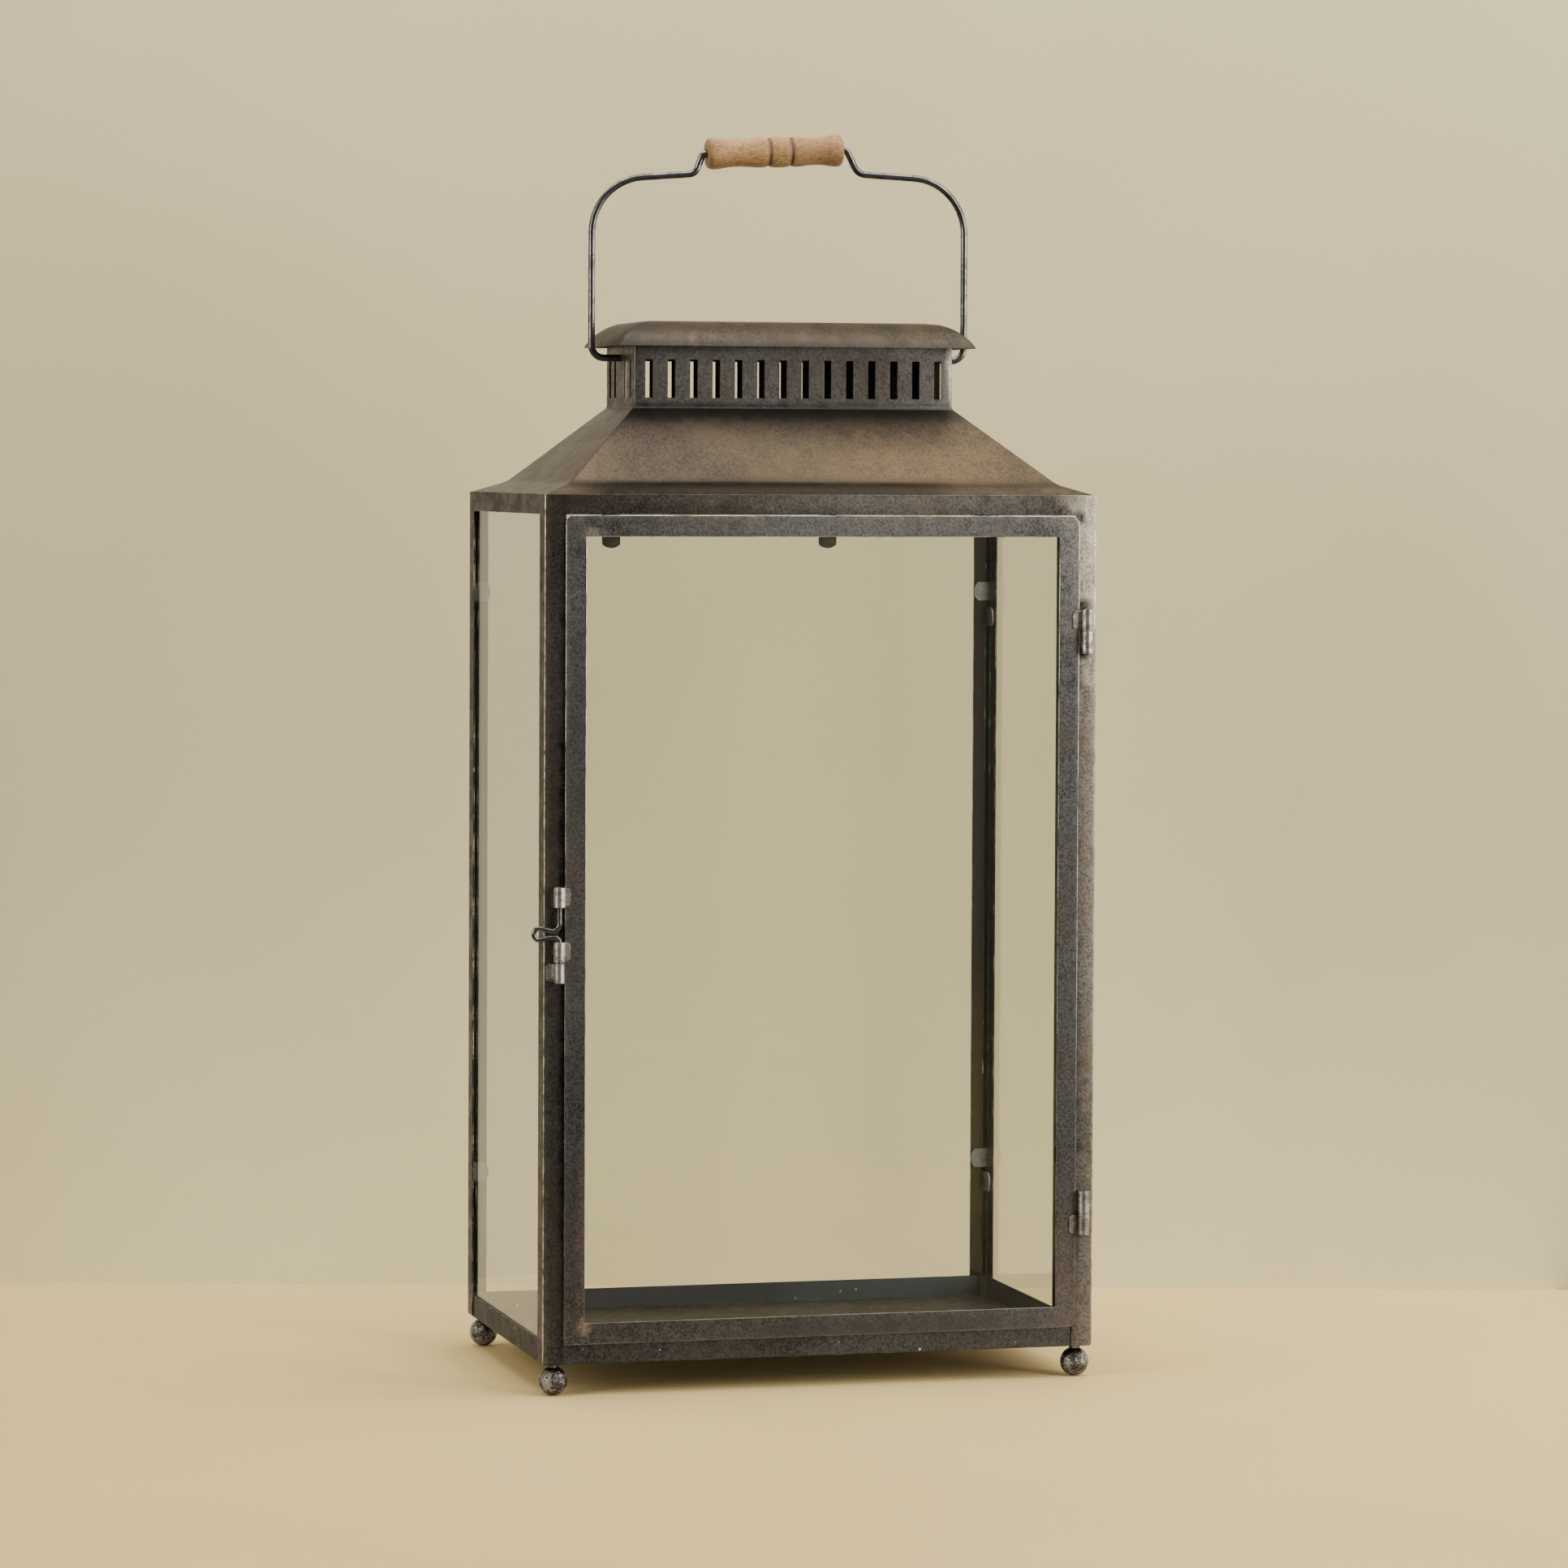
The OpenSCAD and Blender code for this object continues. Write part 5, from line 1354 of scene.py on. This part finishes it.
def rolled_pieces(name, body, node, axis_x, heights, length, outer_r, wall, leaf_side, leaf_reach,
                  leaf_y, leaf_share=0.86):
    shape, sides = rolled_strip(outer_r, wall, length, leaf_side, leaf_reach, leaf_y, leaf_share)
    points, faces = [], []
    for z in heights:
        first = len(points)
        points += [(x + axis_x, y + AXIS_Y, h + z + length / 2) for x, y, h in shape]
        faces += [tuple(first + i for i in side) for side in sides]
    piece = new_piece(name, mesh_from(name, points, faces, knuckle_steel))
    piece = bevelled(piece, 0.16, angle=40, edge_slot=0)
    return belong(piece, body, "bright_steel", node)


def make_knuckles():
    door_leaf_y = DOOR_FACE_Y - LEAF_T / 2 - AXIS_Y
    case_leaf_y = -CASE_HALF_D - LEAF_T / 2 - AXIS_Y
    rolled_pieces("door_knuckles_rolled", "door", "hinge_door_knuckles", HINGE_X, DOOR_KNUCKLES_Z,
                  DOOR_KNUCKLE_L, 3.7, 1.25, -1, HINGE_X - DOOR_X[1] + 4.6, door_leaf_y)
    rolled_pieces("post_knuckles_rolled", "case", "hinge_post_knuckles", HINGE_X, POST_KNUCKLES_Z,
                  POST_KNUCKLE_L, 3.7, 1.3, 1, CASE_HALF_W - HINGE_X - BEND_R, case_leaf_y)
    rolled_pieces("sleeves_rolled", "door", "latch_sleeves", LATCH_X, SLEEVES_Z, SLEEVE_L, 3.7, 1.4, 1,
                  DOOR_X[0] + 3.4 - LATCH_X, door_leaf_y, 0.9)
    rolled_pieces("keeper_rolled", "case", "latch_keeper", LATCH_X, (KEEPER_Z,), SLEEVE_L, 3.3, 1.2, -1,
                  LATCH_X + CASE_HALF_W - BEND_R, case_leaf_y, 0.9)


def make_bolt():
    """Wire bolt with its finger loop."""
    path = [(0, 317.4), (0, 290.55), (-16.3, 294.75), (-16.3, 285.55), (-6.52, 287.8), (0, 287.8),
            (0, 263.2)]
    wire = bent_wire("bolt_bent", path, (0, 4.4, 3.496, 3.496, 6, 3, 0), 3.2, wire_steel,
                     (LATCH_X, AXIS_Y, 0))
    return belong(wire, "latch_bolt", "bright_steel", "latch_bolt")


make_case_frame()
make_tray()
make_feet()
make_roof()
make_neck()
make_cap()
make_bail()
make_grip()
make_door_frame()
make_pane("door_glass", "door_pane", "door")
make_pane("rear_glass", "rear_pane", "case")
make_pane("left_glass", "left_pane", "case")
make_pane("right_glass", "right_pane", "case")
make_knuckles()
make_bolt()


# ================================================================ stage and light

def plain_surface(name, colour, bounce, rough=0.8, cloud=0.03, one_sided=False, fade=None):
    """Plain painted surface, with a calmer colour for the light that it throws back.

    A one-sided one is clear from its back. One with a fade melts into the backdrop between
    two distances from the lantern.
    """
    material, tree, shader = new_material(name)
    shade = remap(tree, noise(tree, object_place(tree), 2.5, 3.0, 0.5), 0.3, 0.7)
    darker = tuple(value * (1 - cloud) for value in colour)
    lighter = tuple(value * (1 + cloud) for value in colour)
    path = add_node(tree, "ShaderNodeLightPath").outputs
    seen = maths(tree, "MAXIMUM", path["Is Camera Ray"], path["Is Transmission Ray"])
    paint = mixed(tree, seen, bounce, mixed(tree, shade, darker, lighter))
    if fade is not None:
        flat = vector_maths(tree, "MULTIPLY", object_place(tree), (1.0, 1.0, 0.0))
        away = remap(tree, vector_maths(tree, "LENGTH", flat, out="Value"), *fade)
        paint = mixed(tree, away, paint, (0.0, 0.0, 0.0))
        feed(tree, shader.inputs["Emission Color"], mixed(tree, away, (0.0, 0.0, 0.0), BACKDROP))
        shader.inputs["Emission Strength"].default_value = 1.0
    feed(tree, shader.inputs["Base Color"], paint)
    shader.inputs["Roughness"].default_value = rough
    if one_sided:
        back = add_node(tree, "ShaderNodeNewGeometry").outputs["Backfacing"]
        clear = add_node(tree, "ShaderNodeBsdfTransparent")
        mix = add_node(tree, "ShaderNodeMixShader")
        feed(tree, mix.inputs[0], back)
        tree.links.new(shader.outputs[0], mix.inputs[1])
        tree.links.new(clear.outputs[0], mix.inputs[2])
        tree.links.new(mix.outputs[0], tree.nodes["Material Output"].inputs["Surface"])
    return material


def stage_sheet(name, points, faces, material):
    mesh = bpy.data.meshes.new(name)
    mesh.from_pydata([tuple(point) for point in points], [], faces)
    mesh.materials.append(material)
    piece = new_piece(name, mesh)
    return piece


BACKDROP = (0.80, 0.67, 0.43)
FLOOR_FADE = (1.15, 4.2)
WALL_AWAY = 0.335
WALL_REACH, WALL_HEIGHT = 2.2, 2.4
FLOOR_FRONT, FLOOR_NEAR, FLOOR_FAR = 0.25, 0.62, 7.0


def make_stage():
    """A pale floor all round, and a pale wall square to the camera behind the lantern."""
    pale_floor = plain_surface("pale_floor", (0.92, 0.69, 0.29), (0.78, 0.68, 0.50))
    pale_wall = plain_surface("pale_wall", (0.81, 0.69, 0.395), (0.78, 0.70, 0.55), one_sided=True)
    far_floor = plain_surface("far_floor", (0.92, 0.69, 0.29), (0.78, 0.68, 0.50), fade=FLOOR_FADE)
    near, far = ([(-back, -front, 0), (back, -front, 0), (back, back, 0), (-back, back, 0)]
                 for front, back in ((FLOOR_FRONT, FLOOR_NEAR), (FLOOR_FAR, FLOOR_FAR)))
    stage_sheet("floor", near, [(0, 1, 2, 3)], pale_floor)
    ring = [(i, (i + 1) % 4, 4 + (i + 1) % 4, 4 + i) for i in range(4)]
    outer = stage_sheet("floor_far", far + near, ring, far_floor)
    # The studio beyond the table is dark in the lantern's polished faces
    outer.visible_glossy = False
    outer.visible_diffuse = False
    along = Vector((math.cos(CAMERA_YAW), -math.sin(CAMERA_YAW), 0)) * WALL_REACH
    middle = Vector((math.sin(CAMERA_YAW), math.cos(CAMERA_YAW), 0)) * WALL_AWAY
    up = Vector((0, 0, WALL_HEIGHT))
    stage_sheet("wall", [middle - along, middle + along, middle + along + up, middle - along + up],
                [(0, 1, 2, 3)], pale_wall)


make_stage()


def soft_lamp(name, place, target, size, power, colour):
    data = bpy.data.lights.new(name, "AREA")
    data.shape = "RECTANGLE"
    data.size, data.size_y = size
    data.energy = power
    data.color = colour
    lamp = bpy.data.objects.new(name, data)
    lamp.location = place
    lamp.rotation_euler = (Vector(target) - Vector(place)).to_track_quat("-Z", "Y").to_euler()
    bpy.context.scene.collection.objects.link(lamp)


soft_lamp("top_box", (0.5, -0.3, 3.0), (0.4, -0.25, 0.0), (3.2, 2.6), 54, (1.0, 0.97, 0.92))
soft_lamp("right_box", (1.8, -2.0, 1.2), (0.0, 0.0, 0.45), (0.9, 2.3), 56, (1.0, 0.98, 0.95))
soft_lamp("left_box", (-2.6, -1.0, 1.35), (0.0, 0.1, 0.45), (1.0, 2.4), 42, (1.0, 0.97, 0.92))
soft_lamp("side_strip", (2.0, -0.46, 0.65), (0.17, -0.05, 0.42), (0.22, 1.3), 9, (1.0, 0.98, 0.95))
soft_lamp("wall_wash", (0.35, -0.22, 1.75), (0.55, 0.25, 1.35), (2.6, 0.3), 19, (1.0, 0.98, 0.95))


def make_world():
    """A dim studio for the light, and a pale backdrop where the view passes the stage."""
    world = bpy.data.worlds.new("studio")
    bpy.context.scene.world = world
    world.use_nodes = True
    tree = world.node_tree
    dim = tree.nodes["Background"]
    dim.inputs["Color"].default_value = (0.90, 0.88, 0.85, 1)
    dim.inputs["Strength"].default_value = 0.14
    pale = add_node(tree, "ShaderNodeBackground")
    pale.inputs["Color"].default_value = (*BACKDROP, 1)
    path = add_node(tree, "ShaderNodeLightPath").outputs
    seen = maths(tree, "MAXIMUM", path["Is Camera Ray"], path["Is Transmission Ray"])
    mix = add_node(tree, "ShaderNodeMixShader")
    feed(tree, mix.inputs[0], seen)
    tree.links.new(dim.outputs[0], mix.inputs[1])
    tree.links.new(pale.outputs[0], mix.inputs[2])
    tree.links.new(mix.outputs[0], tree.nodes["World Output"].inputs["Surface"])


make_world()
